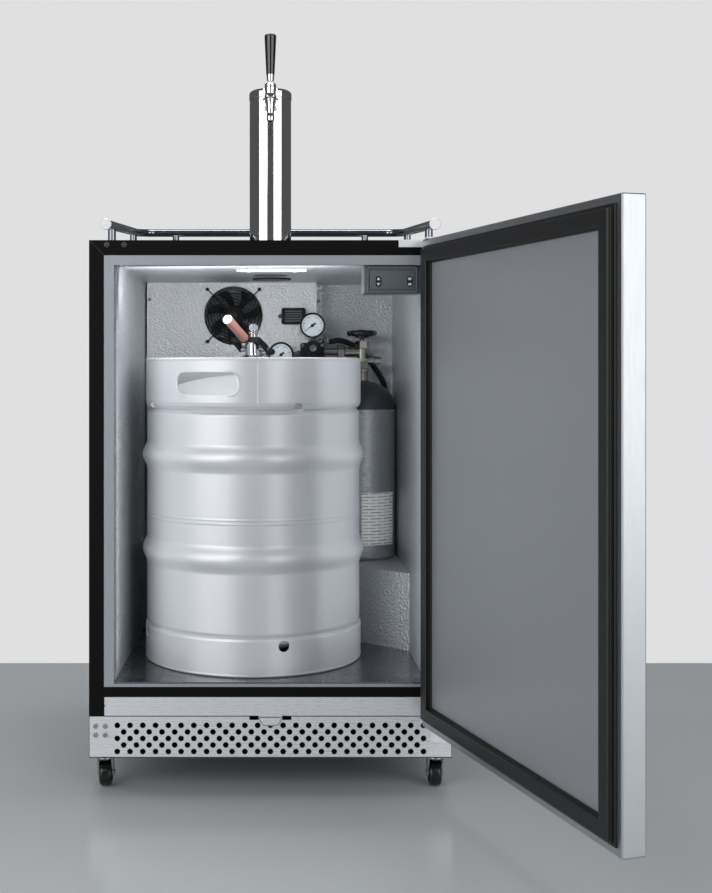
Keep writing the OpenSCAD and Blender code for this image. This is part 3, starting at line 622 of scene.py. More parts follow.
# ---- Lamp and control box ----------------------------------------------------
# A thin pale light bar and a rubber grommet for the beer line under the ceiling, and a
# moulded control box with a raised bezel, two recesses and four small keys.
lens, tree, surface = finish("lamp_lens", "#e6e6e0", 0.3, Subsurface_Weight=0.1)
speckle(tree, surface, 4.0, 0.25, 0.35)
shape = bmesh.new()
block(shape, (-59 * MM, -166 * MM, 875.5 * MM), (63 * MM, -146 * MM, 878.5 * MM), 1 * MM)
for x in (-38, 42):
    turned(shape, mm([(0, 0), (4, 0), (3.4, 1), (0, 1)]), (x * MM, -156 * MM, 875.5 * MM), (0, 0, -1), 24)
piece("ceiling_light_bar", shape, lens, "cabinet", ["ceiling_lamp"])
shape = bmesh.new()
CEILING, GROMMET = 878.5 * MM, Vector((2.5 * MM, 57 * MM, 0))
outline = [(37 * math.cos(math.radians(a)), 30 * math.sin(math.radians(a))) for a in range(0, 360, 6)]
prism(shape, [(GROMMET.x + u, GROMMET.y + v) for u, v in mm(outline)], CEILING - 3.4 * MM,
      CEILING - 0.05 * MM, "XY")
low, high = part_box("tower_column")
turned(shape, mm([(0, 0.1), (32, 0.1), (32, 0.6), (0, 0.6)]),
       ((low[0] + high[0]) / 2, (low[1] + high[1]) / 2, CEILING), (0, 0, -1), 48)
piece("ceiling_grommet", shape, moulded, "cabinet")
BOX = Vector((202.5, -280.0, 853.2))
shell_grey, tree, surface = finish("control_shell", "#5a5f65", 0.38, Coat_Weight=0.2)
speckle(tree, surface, 1.0, 0.32, 0.44, 0.01)
face_grey, tree, surface = finish("control_face", "#646c73", 0.36, 0.4)
speckle(tree, surface, 1.0, 0.3, 0.42)
key_grey, tree, surface = finish("key_grey", "#d3d7da", 0.4)
speckle(tree, surface, 0.8, 0.34, 0.46)


def on_front(u, v, depth):
    return BOX * MM + Vector((u, depth, v))


def carved(shape, cutter):
    """The shape with the cutter's volume taken away."""
    things = []
    for part in (shape, cutter):
        bmesh.ops.recalc_face_normals(part, faces=part.faces)
        mesh = bpy.data.meshes.new("carving")
        part.to_mesh(mesh)
        part.free()
        things.append(bpy.data.objects.new("carving", mesh))
        SCENE.collection.objects.link(things[-1])
    tool = things[0].modifiers.new("cut", "BOOLEAN")
    tool.object, tool.solver, tool.operation = things[1], "EXACT", "DIFFERENCE"
    result = bpy.data.meshes.new_from_object(things[0].evaluated_get(bpy.context.evaluated_depsgraph_get()))
    out = bmesh.new()
    out.from_mesh(result)
    for thing in things:
        bpy.data.objects.remove(thing)
    bpy.data.meshes.remove(result)
    return out


PADS, KEY_HOLE_R = ((179.2, 854.4), (179.2, 845.6), (231.2, 854.4), (231.2, 845.6)), 3.8


def with_key_holes(shape):
    holes = bmesh.new()
    for x, z in PADS:
        turned(holes, mm([(0, -4), (KEY_HOLE_R, -4), (KEY_HOLE_R, 13), (0, 13)]),
               (x * MM, BOX.y * MM, z * MM), (0, 1, 0), 32)
    return carved(shape, holes)


shape = bmesh.new()
block(shape, (155 * MM, -275 * MM, 830 * MM), (250 * MM, -225 * MM, 876 * MM), 1.6 * MM)
piece("control_shell", with_key_holes(shape), shell_grey, "cabinet", ["control_housing"])
shape = bmesh.new()
loft(shape, [(rounded(42, 22.4, 3), 6), (rounded(42, 22.4, 3), 1.4), (rounded(40.8, 21.2, 2.4), 0.1),
             (rounded(39.6, 20, 2), 0.1), (rounded(38.6, 17.6, 1.6), 1.6),
             (rounded(38.6, 17.6, 1.6), 3.6)], on_front)
piece("control_bezel", with_key_holes(shape), shell_grey, "cabinet")
shape = bmesh.new()
block(shape, on_front(-37.2 * MM, -16.2 * MM, 1.8 * MM), on_front(37.2 * MM, 15.4 * MM, 4.6 * MM), 0.8 * MM)
piece("control_face", with_key_holes(shape), face_grey, "cabinet")
for side, (x, z), (_, z2) in zip(("left", "right"), PADS[::2], PADS[1::2]):
    shape = bmesh.new()
    oval = [(x + u, (z + z2) / 2 + v) for u, v in rounded(4.6, 9, 4.5)]
    prism(shape, mm(oval), -278.7 * MM, -277.6 * MM)
    piece(f"key_recess_{side}", with_key_holes(shape), moulded, "cabinet")
for i, (x, z) in enumerate(PADS, 1):
    turned_up = {1: 1, 2: -1}.get(i, 0)
    sign = [(-2.9, -2), (2.9, -2), (0.4, 2.4), (-0.4, 2.4)] if turned_up else rounded(2.7, 2.1, 1.4)
    shape = bmesh.new()
    prism(shape, mm([(x + u, z + v * (turned_up or 1)) for u, v in sign]), -279.4 * MM, -277.3 * MM)
    turned(shape, mm([(0, 7.6), (1.6, 7.6), (1.6, 9.4), (0, 9.4)]), (x * MM, FRONT, z * MM), (0, 1, 0), 20)
    piece(f"key_{i}", shape, key_grey, f"button_{i}", [f"control_button_{i}"])


# ---- Lower front -------------------------------------------------------------
# Brushed stainless: a plain strip with the latch strike, and a perforated kick plate.
def brushed(name, colour, roughness, along, line_mm=0.5, depth_mm=0.012, metallic=1.0):
    """Brushed metal; along is the direction of the lines, and line_mm their spacing."""
    made, tree, surface = finish(name, colour, roughness, metallic)
    stretch = tuple(0.012 if i == "XYZ".index(along) else 1.0 for i in range(3))
    where = node(tree, "ShaderNodeTexCoord")
    mapped = node(tree, "ShaderNodeMapping", {"Vector": where.outputs["Object"], "Scale": stretch})
    lines = node(tree, "ShaderNodeTexNoise",
                 {"Vector": mapped.outputs[0], "Scale": 1000 / line_mm, "Detail": 3.0, "Roughness": 0.6})
    spread = node(tree, "ShaderNodeMapRange",
                  {"Value": lines.outputs["Fac"], "From Min": 0.3, "From Max": 0.7,
                   "To Min": roughness - 0.07, "To Max": roughness + 0.09})
    tree.links.new(spread.outputs[0], surface.inputs["Roughness"])
    relief = node(tree, "ShaderNodeBump",
                  {"Height": lines.outputs["Fac"], "Distance": depth_mm * MM, "Strength": 1.0})
    tree.links.new(relief.outputs[0], surface.inputs["Normal"])
    return made


strip_steel = brushed("stainless_brushed_across", "#e4e7ea", 0.3, "X", 0.4, 0.002, 0.55)
for name in ("lower_trim", "kick_plate", "drip_tray", "drip_grate"):
    dress(name, strip_steel)
dress("panel_screws", plated)
STRIKE = ((19.7, 130.6), (19.7, 126.4), (11.8, 115.8))


def strike_ring(inset):
    """Outline of the latch strike drawn in by inset on every side."""
    (wide, top), (_, shoulder), (narrow, foot) = STRIKE
    right = [(wide - inset, top - inset), (wide - inset, shoulder + 0.3 * inset),
             (narrow - 0.5 * inset, foot + inset)]
    return right + [(-u, v) for u, v in reversed(right)]


shape = bmesh.new()
loft(shape, [(strike_ring(0), 0.7), (strike_ring(0), 3.6), (strike_ring(0.6), 4.2), (strike_ring(1.8), 4.2),
             (strike_ring(2.6), 3.2)],
     lambda u, v, depth: Vector((u, FRONT - depth, v)))
piece("latch_strike_cup", shape, plated, "cabinet")

# ---- Door --------------------------------------------------------------------
# A folded stainless pan filled with foam, a grey inner panel, a bellows gasket pushed into
# a groove all round, and a bar handle on two posts.
door_steel = brushed("stainless_brushed_down", "#b2b6ba", 0.36, "Z", 0.4, 0.002)
panel_grey, tree, surface = finish("inner_panel_grey", "#8d9196", 0.4, 0.4)
speckle(tree, surface, 1.3, 0.38, 0.46, 0.01)
dress("door_core", panel_grey)
vinyl, tree, surface = finish("gasket_vinyl", "#121213", 0.5)
speckle(tree, surface, 1.0, 0.42, 0.58, 0.02)
PIVOT = Vector((0.2774, -0.322, 0.0))
DOOR_OPEN = 106.6
DOOR_IN, DOOR_HALF, DOOR_FOOT, DOOR_TOP = -0.297, 0.2975, 0.1215, 0.9154
swing = Matrix.Translation(PIVOT) @ Matrix.Rotation(math.radians(DOOR_OPEN), 4,
                                                    "Z") @ Matrix.Translation(-PIVOT)


def framed(shape, profile, low, high, loop=True):
    """Adds a mitred frame round a rectangle; profile is (inset, depth) pairs across it."""
    rings = []
    for inset, depth in profile:
        x0, x1, z0, z1 = low[0] + inset, high[0] - inset, low[1] + inset, high[1] - inset
        rings.append([shape.verts.new((x, depth, z)) for x, z in ((x0, z0), (x1, z0), (x1, z1), (x0, z1))])
    if loop:
        rings.append(rings[0])
    for a, b in zip(rings, rings[1:]):
        for i in range(4):
            j = (i + 1) % 4
            shape.faces.new((a[i], a[j], b[j], b[i]))


shape, hollow = bmesh.new(), bmesh.new()
DOOR_THICK = 33.6
block(shape, (-DOOR_HALF, DOOR_IN - DOOR_THICK * MM, DOOR_FOOT), (DOOR_HALF, DOOR_IN, DOOR_TOP), 2.4 * MM,
      4)
block(hollow, (-DOOR_HALF + 1 * MM, DOOR_IN - (DOOR_THICK - 1) * MM, DOOR_FOOT + 1 * MM),
      (DOOR_HALF - 1 * MM, DOOR_IN - 1 * MM, DOOR_TOP - 1 * MM))
block(hollow, (-DOOR_HALF + 12 * MM, DOOR_IN - 5 * MM, DOOR_FOOT + 12 * MM),
      (DOOR_HALF - 12 * MM, DOOR_IN + 1 * MM, DOOR_TOP - 12 * MM))
for z in (DOOR_FOOT, DOOR_TOP):
    turned(hollow, mm([(0, -3), (7, -3), (7, 3), (0, 3)]), (PIVOT.x, PIVOT.y, z), steps=40)
shape = carved(shape, hollow)
bmesh.ops.transform(shape, matrix=swing, verts=shape.verts)
piece("door_steel_pan", shape, door_steel, "door", ["door_skin"])
shape = bmesh.new()
BELLOWS = [(11, 0.0), (11, 2.4), (12, 3.0), (16.5, 3.2), (17.2, 3.9), (15.9, 4.6), (15.8, 5.3), (17.4, 6.2),
           (17.3, 6.9),
           (16.7, 7.6), (16.7, 9.4), (17.8, 10.4), (20, 10.6), (33, 10.6), (36.6, 10.3), (37.4, 9.4),
           (37.4, 7.8),
           (36.3, 7.0), (36.2, 6.2), (38.6, 5.4), (38.8, 4.7), (36.9, 4.0), (37.2, 3.2), (39.4, 3.0),
           (40, 2.4), (40, 0.0)]
framed(shape, [(a * MM, DOOR_IN + b * MM) for a, b in BELLOWS], (-DOOR_HALF, DOOR_FOOT),
       (DOOR_HALF, DOOR_TOP))
bmesh.ops.transform(shape, matrix=swing, verts=shape.verts)
piece("door_bellows_gasket", shape, vinyl, "door", ["door_gasket"])
HANDLE_Z, HANDLE_OUT, HANDLE_HALF, POST_X = 860, 50, 200, 160
DOOR_FACE = -330.6
shape = bmesh.new()
bar_y = (DOOR_FACE - HANDLE_OUT) * MM
turned(shape, mm([(0, -HANDLE_HALF), (6.4, -HANDLE_HALF), (8, -HANDLE_HALF + 1.6), (8, HANDLE_HALF - 1.6),
                  (6.4, HANDLE_HALF), (0, HANDLE_HALF)]),
       (0, bar_y, HANDLE_Z * MM), (1, 0, 0), 48)
for x in (-POST_X, POST_X):
    turned(shape, mm([(0, 0), (10, 0), (11, 0.8), (11, 3.2), (10, 4), (6.4, 4.8), (5.5, 7), (5.5, 42),
                      (6.2, 45), (0, 45)]),
           (x * MM, DOOR_FACE * MM, HANDLE_Z * MM), (0, -1, 0), 40)
bmesh.ops.transform(shape, matrix=swing, verts=shape.verts)
piece("door_bar_handle", shape, door_steel, "door", ["door_handle"])

# ---- Rail and tower ----------------------------------------------------------
# Polished stainless tube: a rail on posts, a chrome-plated column with a pressed cap.
mirror_chrome, tree, surface = finish("polished_chrome", "#d6d8da", 0.06, 1.0)
speckle(tree, surface, 14.0, 0.04, 0.09)
rail_steel, tree, surface = finish("rail_stainless", "#8b9096", 0.14, 1.0)
speckle(tree, surface, 14.0, 0.11, 0.19)
bright_satin, tree, surface = finish("bright_satin_steel", "#eceef0", 0.42, 0.5)
speckle(tree, surface, 4.0, 0.36, 0.5)
RAIL_R, RAIL_X, RAIL_RUN, BEND, RAIL_SLOPE = 7.8, 273.6, 488, 40, math.radians(4.4)
rail_frame = Matrix.Translation((0, -273 * MM, 946 * MM)) @ Matrix.Rotation(RAIL_SLOPE, 4, "X")
right_bend = arc((RAIL_X - BEND, RAIL_RUN), BEND, 0, 90, 14)
plan = [(RAIL_X, 0), (RAIL_X, 160), (RAIL_X, 330)] + right_bend
plan += [(-x, y) for x, y in reversed(plan)]
shape = bmesh.new()
swept(shape, [rail_frame @ Vector((x * MM, y * MM, 0)) for x, y in plan], RAIL_R * MM, 40)
for way in (-1, 1):
    for x, back in ((RAIL_X, 94), (RAIL_X, 440), (196, 539)):
        top = 28 + (back - 12) * math.tan(RAIL_SLOPE)
        turned(shape, mm([(0, 0), (11.4, 0), (11.4, 1.4), (10.8, 2), (7.2, 2.2), (6.75, 3), (6.75, top - 1),
                          (0, top - 1)]),
               (way * x * MM, (back - 285) * MM, 918 * MM), steps=40)
piece("rail_tube_and_posts", shape, rail_steel, "cabinet", ["guard_rail"])
shape = bmesh.new()
for way in (-1, 1):
    foot = rail_frame @ Vector((way * RAIL_X * MM, 0, 0))
    turned(shape, mm([(0, -2), (7.4, -2), (9.5, 0.2), (9.5, 1.4), (8.6, 2.3), (0, 2.4)]), foot,
           rail_frame.to_3x3() @ Vector((0, -1, 0)), 48)
piece("rail_end_discs", shape, bright_satin, "cabinet")
dress("hinge_brackets", bright_satin)
low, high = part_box("tower_column")
TOWER = Vector(((low[0] + high[0]) / 2, (low[1] + high[1]) / 2, low[2]))
COLUMN_R, WALL = 38.5 * MM, 2.5 * MM
shape = bmesh.new()
turned(shape, [(COLUMN_R - WALL, 0.2 * MM), (56 * MM, 0.2 * MM), (56 * MM, 4.4 * MM), (55.2 * MM, 5.8 * MM),
               (53 * MM, 6.6 * MM),
               (43 * MM, 7 * MM), (40.4 * MM, 7.6 * MM), (39.2 * MM, 9 * MM), (COLUMN_R, 12 * MM),
               (COLUMN_R, 284.8 * MM), (COLUMN_R - WALL, 284.8 * MM)],
       TOWER, steps=160, loop=True)
piece("tower_tube", shape, mirror_chrome, "cabinet", ["tower_column"])
top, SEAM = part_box("tower_cap")[1][2] - TOWER.z, 285 * MM
CAP_R = COLUMN_R + 0.75 * MM
shape = bmesh.new()
turned(shape, [(0, SEAM + 0.2 * MM), (CAP_R - 0.3 * MM, SEAM + 0.2 * MM), (CAP_R, SEAM + 0.6 * MM),
               (CAP_R, top - 6 * MM), (CAP_R - 0.5 * MM, top - 4.4 * MM),
               (CAP_R - 1.9 * MM, top - 2.5 * MM), (CAP_R - 4.6 * MM, top - 0.8 * MM),
               (CAP_R - 8 * MM, top), (0, top)],
       TOWER, steps=160)
piece("tower_pressed_cap", shape, mirror_chrome, "cabinet", ["tower_cap"])

# ---- Faucet ------------------------------------------------------------------
# A chrome-plated brass faucet: a round collar against the column, a short barrel, an
# upright body with its bonnet, a slanted spout, and a lever with a tapered ferrule.
low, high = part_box("tap_handle")
TAP = Vector(((low[0] + high[0]) / 2, (low[1] + high[1]) / 2, 0))
SHANK_Z = 1189 * MM
front_of_column = TOWER.y - COLUMN_R
shape = bmesh.new()
turned(shape, mm([(0, -24), (11, -24), (11, 0), (15.4, 0), (16, 0.7), (16, 3.4), (15.2, 4.6), (12.6, 5.6),
                  (12.4, 7), (13.2, 8), (13.2, 16), (12.4, 17), (10.2, 18), (9.4, 21), (9.2, 40),
                  (10.2, 46), (10.6, 62), (9.6, 67), (6.6, 70.4), (5.2, 71.2), (4.8, 73.4), (3, 74.6),
                  (0, 75)]),
       (TAP.x, front_of_column, SHANK_Z), (0, -1, 0), 64)
turned(shape, mm([(0, 1178), (8.4, 1178), (9.6, 1182), (9.8, 1199), (10.4, 1200), (10.5, 1205),
                  (9.8, 1206.2), (10.2, 1207.4), (10, 1210.6), (8.4, 1212.6), (6.6, 1213), (6.2, 1212.2),
                  (6.2, 1194), (0, 1194)]), (TAP.x, TAP.y, 0), steps=56)
SPOUT_LEAN = math.radians(8)
spout_way = (0, -math.sin(SPOUT_LEAN), -math.cos(SPOUT_LEAN))
turned(shape, mm([(0, -2), (9, -2), (9.4, 4), (8.2, 9), (7.1, 14), (6.6, 22), (6.5, 30), (7, 34), (7.4, 36),
                  (7.4, 39), (6.9, 42.6), (5.9, 44), (4.6, 44), (4.6, 12), (0, 12)]),
       (TAP.x, TAP.y - 2 * MM, SHANK_Z - 2 * MM), spout_way, 56)
turned(shape, mm([(0, -10.6), (1.5, -10.6), (1.5, 10.6), (0, 10.6)]), (TAP.x, TAP.y, 1209 * MM), (1, 0, 0),
       16)
piece("faucet_chrome_body", shape, mirror_chrome, "cabinet", ["faucet_body"])
PIVOT_Z = 1209 * MM
shape = bmesh.new()
ball = [(5.5 * MM * math.cos(math.radians(a)),
         PIVOT_Z + 5.5 * MM * math.sin(math.radians(a))) for a in range(-75, 55, 10)]
turned(shape, mm([(0, 1201), (1.9, 1201), (2, 1203.4)]) + ball +
       mm([(3.2, 1214.4), (3.2, 1215.6), (5.6, 1215.8), (6.1, 1216.6), (7, 1227.4), (7, 1228.4),
           (0, 1228.4)]),
       (TAP.x, TAP.y, 0), steps=48)
piece("faucet_lever_and_ferrule", shape, mirror_chrome, "tap", ["faucet_lever"])
handle_gloss, tree, surface = finish("handle_black_gloss", "#0d0d0e", 0.14, Coat_Weight=0.6,
                                     Coat_Roughness=0.05)
speckle(tree, surface, 8.0, 0.1, 0.18)
shape = bmesh.new()
base, tip = 1228.6 * MM, high[2]
turned(shape, [(0, base), (7.2 * MM, base), (7.4 * MM, base + 0.6 * MM), (10.5 * MM, tip - 5 * MM),
               (10.4 * MM, tip - 2.8 * MM),
               (9.4 * MM, tip - 1.2 * MM), (6.6 * MM, tip - 0.2 * MM), (0, tip)], (TAP.x, TAP.y, 0),
       steps=64)
piece("tapered_handle", shape, handle_gloss, "tap", ["tap_handle"])

# ---- Keg ---------------------------------------------------------------------
# A satin stainless keg: pressed body with two rolling rings and rolled chimes.
keg_steel = brushed("keg_satin_steel", "#d2d5d9", 0.38, "X", 1.2, 0.004, 0.45)
low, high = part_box("keg_shell")
KEG_X, KEG_Y, KEG_Z = (low[0] + high[0]) / 2, (low[1] + high[1]) / 2, low[2]
KEG = Vector((KEG_X, KEG_Y, KEG_Z))
BODY_R, HEAD_R = 193.0, 190.0


def swell(z, centre, reach):
    return 0.5 + 0.5 * math.cos(math.pi * (z - centre) / reach) if abs(z - centre) < reach else 0.0


def wall_radius(z):
    """Outside radius of the pressed body at height z, with its two rings and its seam."""
    rings = 8 * (swell(z, 196, 25) ** 0.8 + swell(z, 365, 25) ** 0.8)
    seam = 0.7 * (swell(z, 256.5, 2.2) + swell(z, 263.5, 2.2))
    return BODY_R + rings + seam - 4 * swell(z, 62, 11) - 6.5 * swell(z, 450, 12)


lower_head = [(HEAD_R * math.sin(math.radians(a)), 62 - 44 * math.cos(math.radians(a)))
              for a in range(0, 85, 5)]
wall = [(wall_radius(62 + 1.5 * i), 62 + 1.5 * i) for i in range(260)]
upper_head = [(HEAD_R - 3, 451), (HEAD_R - 8, 451.6)]
upper_head += [((HEAD_R - 8) * math.cos(math.radians(a)), 452 + 56 * math.sin(math.radians(a)))
               for a in range(6, 80, 4)]
neck = [(31, 506.8), (31, 515), (30, 516), (25.4, 516), (25.4, 506), (0, 506)]
shape = bmesh.new()
turned(shape, [(r * MM, z * MM) for r, z in lower_head + wall + upper_head + neck], KEG, steps=192)
body = piece("keg_body", shape, keg_steel, "cabinet", ["keg_shell"])


HAND_HOLES, HAND_Z, HAND_HALF, HAND_HIGH, HAND_R = (-24, 156), 493, 60, 20, 16
NOTCHES, DRAINS = (24, 114, 204, 294), (16, 106, 196, 286)
RIM_R, RIM_T, BEAD = 195.5, 2.1, 3.5


def on_chime(angle, across, z, radius=RIM_R - 1):
    """A point on the chime: angle in degrees from the front, across in millimetres."""
    a = math.radians(angle) - math.pi / 2 + across / radius
    return KEG + Vector((radius * math.cos(a), radius * math.sin(a), z)) * MM


shape = bmesh.new()
bead = [(192.2 + BEAD * math.cos(math.radians(a)),
         534.3 + BEAD * math.sin(math.radians(a))) for a in range(-30, 300, 15)]
rim = [(186.4, 450), (188.6, 448.6), (191.6, 450.6), (194.2, 455),
       (RIM_R, 461)] + bead + [(RIM_R - RIM_T, 530), (RIM_R - RIM_T, 462), (191.6, 456), (189, 452.6)]
turned(shape, [(r * MM, z * MM) for r, z in rim], KEG, steps=240, loop=True)
cutter = bmesh.new()
for angle in HAND_HOLES:
    outline = [(u * MM, (HAND_Z + v) * MM) for u, v in rounded(HAND_HALF, HAND_HIGH, HAND_R, 10)]
    verts = prism(cutter, outline, -212 * MM, -170 * MM)
    turn_about(verts, Matrix.Translation(KEG) @ Matrix.Rotation(math.radians(angle), 4, "Z"))
for angle in NOTCHES:
    outline = arc((0, 451), 9.5, 0, 360, 24)[:-1]
    verts = prism(cutter, [(u * MM, v * MM) for u, v in outline], -212 * MM, -187 * MM)
    turn_about(verts, Matrix.Translation(KEG) @ Matrix.Rotation(math.radians(angle), 4, "Z"))
shape = carved(shape, cutter)
for angle in HAND_HOLES:
    outline = rounded(HAND_HALF, HAND_HIGH, HAND_R, 10)
    outline.append(outline[0])
    swept(shape, [on_chime(angle, u, HAND_Z + v) for u, v in outline], 2.3 * MM, 10)
swept(shape, [on_chime(3, 0, 459 + 5 * i, RIM_R - 0.5) for i in range(15)], 0.9 * MM, 8)
piece("keg_top_chime", shape, keg_steel, "cabinet")
shape = bmesh.new()
foot = [(192.2 + BEAD * math.cos(math.radians(a)),
         BEAD + BEAD * math.sin(math.radians(a))) for a in range(30, -300, -15)]
skirt = [(188, 65), (190.4, 66), (193.8, 64), (RIM_R, 60)] + foot + [(RIM_R - RIM_T, 7),
    (RIM_R - RIM_T, 58), (188.4, 62)]
turned(shape, [(r * MM, z * MM) for r, z in skirt], KEG, steps=240, loop=True)
cutter = bmesh.new()
for angle in DRAINS:
    outline = arc((0, 52), 9.5, 0, 360, 24)[:-1]
    verts = prism(cutter, [(u * MM, v * MM) for u, v in outline], -212 * MM, -186 * MM)
    turn_about(verts, Matrix.Translation(KEG) @ Matrix.Rotation(math.radians(angle), 4, "Z"))
piece("keg_bottom_chime", carved(shape, cutter), keg_steel, "cabinet")
dress("keg_valve", plated)

# ---- Coupler -----------------------------------------------------------------
# The keg coupler: a plated brass body locked into the keg's neck, a sliding probe with the
# beer nut on top, and a forked lever with a brown vinyl grip closed by a white plug.
COUPLER_Z, COUPLER_TURN, LEVER_PIVOT, LEVER_DIP = 703 * MM, -26.8, 39 * MM, -27
coupler_frame = (Matrix.Translation((KEG_X, KEG_Y, COUPLER_Z)) @ Matrix.Rotation(math.radians(COUPLER_TURN),
    4, "Z"))
lever_frame = (coupler_frame @ Matrix.Translation((0, 0, LEVER_PIVOT))
               @ Matrix.Rotation(math.radians(LEVER_DIP), 4, "X"))
shape = bmesh.new()
turned(shape, mm([(7.06, 0), (31.6, 0), (33, 1.4), (33, 10.4), (31.8, 12), (27.2, 12.4), (26, 13.6),
                  (26, 21.6), (24.6, 23.6),
                  (17, 25.4), (15.4, 27), (15, 30), (15, 43), (15.8, 44), (15.8, 46.4), (14.6, 47.4),
                  (14.6, 49), (15.6, 50),
                  (15.6, 52.4), (14.4, 54), (7.06, 54)]), (0, 0, 0), steps=72, loop=True)
turned(shape, mm([(0, 11), (6.6, 11), (7.5, 15), (7.5, 26), (9.4, 27.4), (9.4, 33.6), (0, 33.8)]),
       (0, 0, 34 * MM), (0, 1, 0), 32)
for way in (-1, 1):
    turned(shape, mm([(0, 10), (6.3, 10), (6.3, 23.2), (5.6, 24), (3, 24), (3, 29), (2.4, 30), (0, 30)]),
           (0, 0, LEVER_PIVOT), (way, 0, 0), 28)
for third in range(3):
    lug = math.radians(120 * third + 60)
    turned(shape, mm([(0, 0), (6, 0), (7, 1), (7, 8), (6, 9), (0, 9)]),
           (30 * MM * math.cos(lug), 30 * MM * math.sin(lug), 1.5 * MM), steps=24)
bmesh.ops.transform(shape, matrix=coupler_frame, verts=shape.verts)
piece("coupler_plated_body", shape, mirror_chrome, "cabinet", ["coupler_body"])
shape = bmesh.new()
turned(shape, mm([(0, 12), (6.2, 12), (7, 13.4), (7, 56), (7, 65), (8.6, 66), (9, 67), (9, 69), (8, 70.4),
                  (7, 71), (7, 73), (6.4, 81.4), (6.4, 83),
                  (5.6, 84), (0, 84)]), (0, 0, 0), steps=40)
nut = [(9.5 * math.cos(math.radians(60 * i)), 9.5 * math.sin(math.radians(60 * i))) for i in range(6)]
prism(shape, mm(nut), 73.4 * MM, 81 * MM, "XY")
bmesh.ops.transform(shape, matrix=coupler_frame, verts=shape.verts)
piece("coupler_probe_and_nut", shape, mirror_chrome, "coupler_plunger", ["coupler_probe"])
cast, tree, surface = finish("dark_casting", "#26272b", 0.34, 0.6)
speckle(tree, surface, 1.1, 0.28, 0.42, 0.05)
shape = bmesh.new()
for way in (-1, 1):
    cheek = arc((0, 0), 7, -60, 90, 10) + [(-31, 5.2)] + arc((-33, 1.2), 4, 90, 180, 5) + arc((-33, -1.4),
        4, 180, 270, 5)
    near, far = sorted((way * 24.6 * MM, way * 27.6 * MM))
    prism(shape, mm(cheek), near, far, "YZ")
    turned(shape, mm([(3.2, 0), (6.2, 0), (6.2, 1), (5.2, 1.8), (3.2, 1.8)]), (way * 27.6 * MM, 0, 0),
           (way, 0, 0), 24, loop=True)
block(shape, (-27.6 * MM, -37 * MM, -4.6 * MM), (27.6 * MM, -32 * MM, 4.6 * MM), 1.4 * MM)
turned(shape, mm([(0, 34), (6.8, 34), (6.8, 37), (5.2, 39.5), (4.5, 42), (4.5, 105.5), (0, 106)]),
       (0, 0, 0), (0, -1, 0), 28)
bmesh.ops.transform(shape, matrix=lever_frame, verts=shape.verts)
piece("coupler_forked_lever", shape, cast, "coupler_lever", ["coupler_handle"])
sleeve, tree, surface = finish("grip_sleeve", "#94695f", 0.42)
speckle(tree, surface, 1.2, 0.36, 0.5, 0.03)
shape = bmesh.new()
turned(shape, mm([(4.52, 39.4), (7.6, 39.4), (8.3, 40.4), (8.5, 44), (8.2, 70), (8.5, 96), (8.5, 109.4),
                  (4.52, 109.4)]),
       (0, 0, 0), (0, -1, 0), 40, loop=True)
bmesh.ops.transform(shape, matrix=lever_frame, verts=shape.verts)
piece("coupler_vinyl_grip", shape, sleeve, "coupler_lever", ["coupler_grip"])
plug_white, tree, surface = finish("white_plug", "#eceae6", 0.35)
speckle(tree, surface, 3.0, 0.3, 0.42)
shape = bmesh.new()
turned(shape, mm([(0, 109.5), (8.5, 109.5), (8.5, 111), (7.7, 111.9), (0, 112)]), (0, 0, 0), (0, -1, 0), 40)
bmesh.ops.transform(shape, matrix=lever_frame, verts=shape.verts)
piece("grip_end_plug", shape, plug_white, "coupler_lever")

# ---- Gas cylinder ------------------------------------------------------------
# A 5 lb carbon dioxide cylinder: satin aluminium body, charcoal painted shoulder, a label
# with plain grey rows, and a plated brass valve with a lobed black handwheel.
low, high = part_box("co2_cylinder")
CYLINDER = Vector(((low[0] + high[0]) / 2, (low[1] + high[1]) / 2, low[2]))
BOTTLE_R, SHOULDER_Z = 66.7, 296
alloy = brushed("cylinder_aluminium", "#c3c7cb", 0.3, "X", 0.9, 0.004, 0.75)
shape = bmesh.new()
turned(shape, mm([(0, 7), (38, 3), (54, 0.4), (60, 0), (64, 1.6), (66.2, 5), (BOTTLE_R, 9), (BOTTLE_R, 120),
                  (BOTTLE_R, 220),
                  (BOTTLE_R, SHOULDER_Z - 0.4), (66, SHOULDER_Z), (0, SHOULDER_Z)]), CYLINDER, steps=128)
piece("cylinder_body", shape, alloy, "cabinet", ["co2_cylinder"])
charcoal, tree, surface = finish("cylinder_shoulder_paint", "#3a3e43", 0.36, 0.2, Coat_Weight=0.2)
speckle(tree, surface, 1.3, 0.3, 0.44, 0.02)
dome = [(15.5 + (BOTTLE_R - 15.5) * math.cos(math.radians(a)),
         SHOULDER_Z + 53 * math.sin(math.radians(a))) for a in range(0, 91, 5)]
shape = bmesh.new()
turned(shape, mm([(0, SHOULDER_Z + 0.1), (66, SHOULDER_Z + 0.1)] + dome + [(15.5, 350), (14.6, 352),
    (12, 352), (0, 352)]), CYLINDER, steps=128)
piece("cylinder_shoulder", shape, charcoal, "cabinet")
LABEL_FROM, LABEL_TO, LABEL_LOW, LABEL_HIGH, LABEL_R = -4, 62, 29.5, 132, 67.0
label_paper, tree, surface = finish("printed_label", "#eeeeec", 0.5)
where = node(tree, "ShaderNodeTexCoord")
rows = node(tree, "ShaderNodeTexBrick",
            {"Vector": node(tree, "ShaderNodeMapping", {"Vector": where.outputs["UV"]}).outputs[0],
             "Color1": linear("#8f9296"), "Color2": linear("#c9cbcd"), "Mortar": linear("#eeeeec"),
             "Scale": 9.0,
             "Mortar Size": 0.26, "Mortar Smooth": 0.1, "Brick Width": 3.4, "Row Height": 0.75})
tree.links.new(rows.outputs["Color"], surface.inputs["Base Color"])
shape = bmesh.new()
uv = shape.loops.layers.uv.new("UVMap")
ANGLES = 16
front, back = [], []
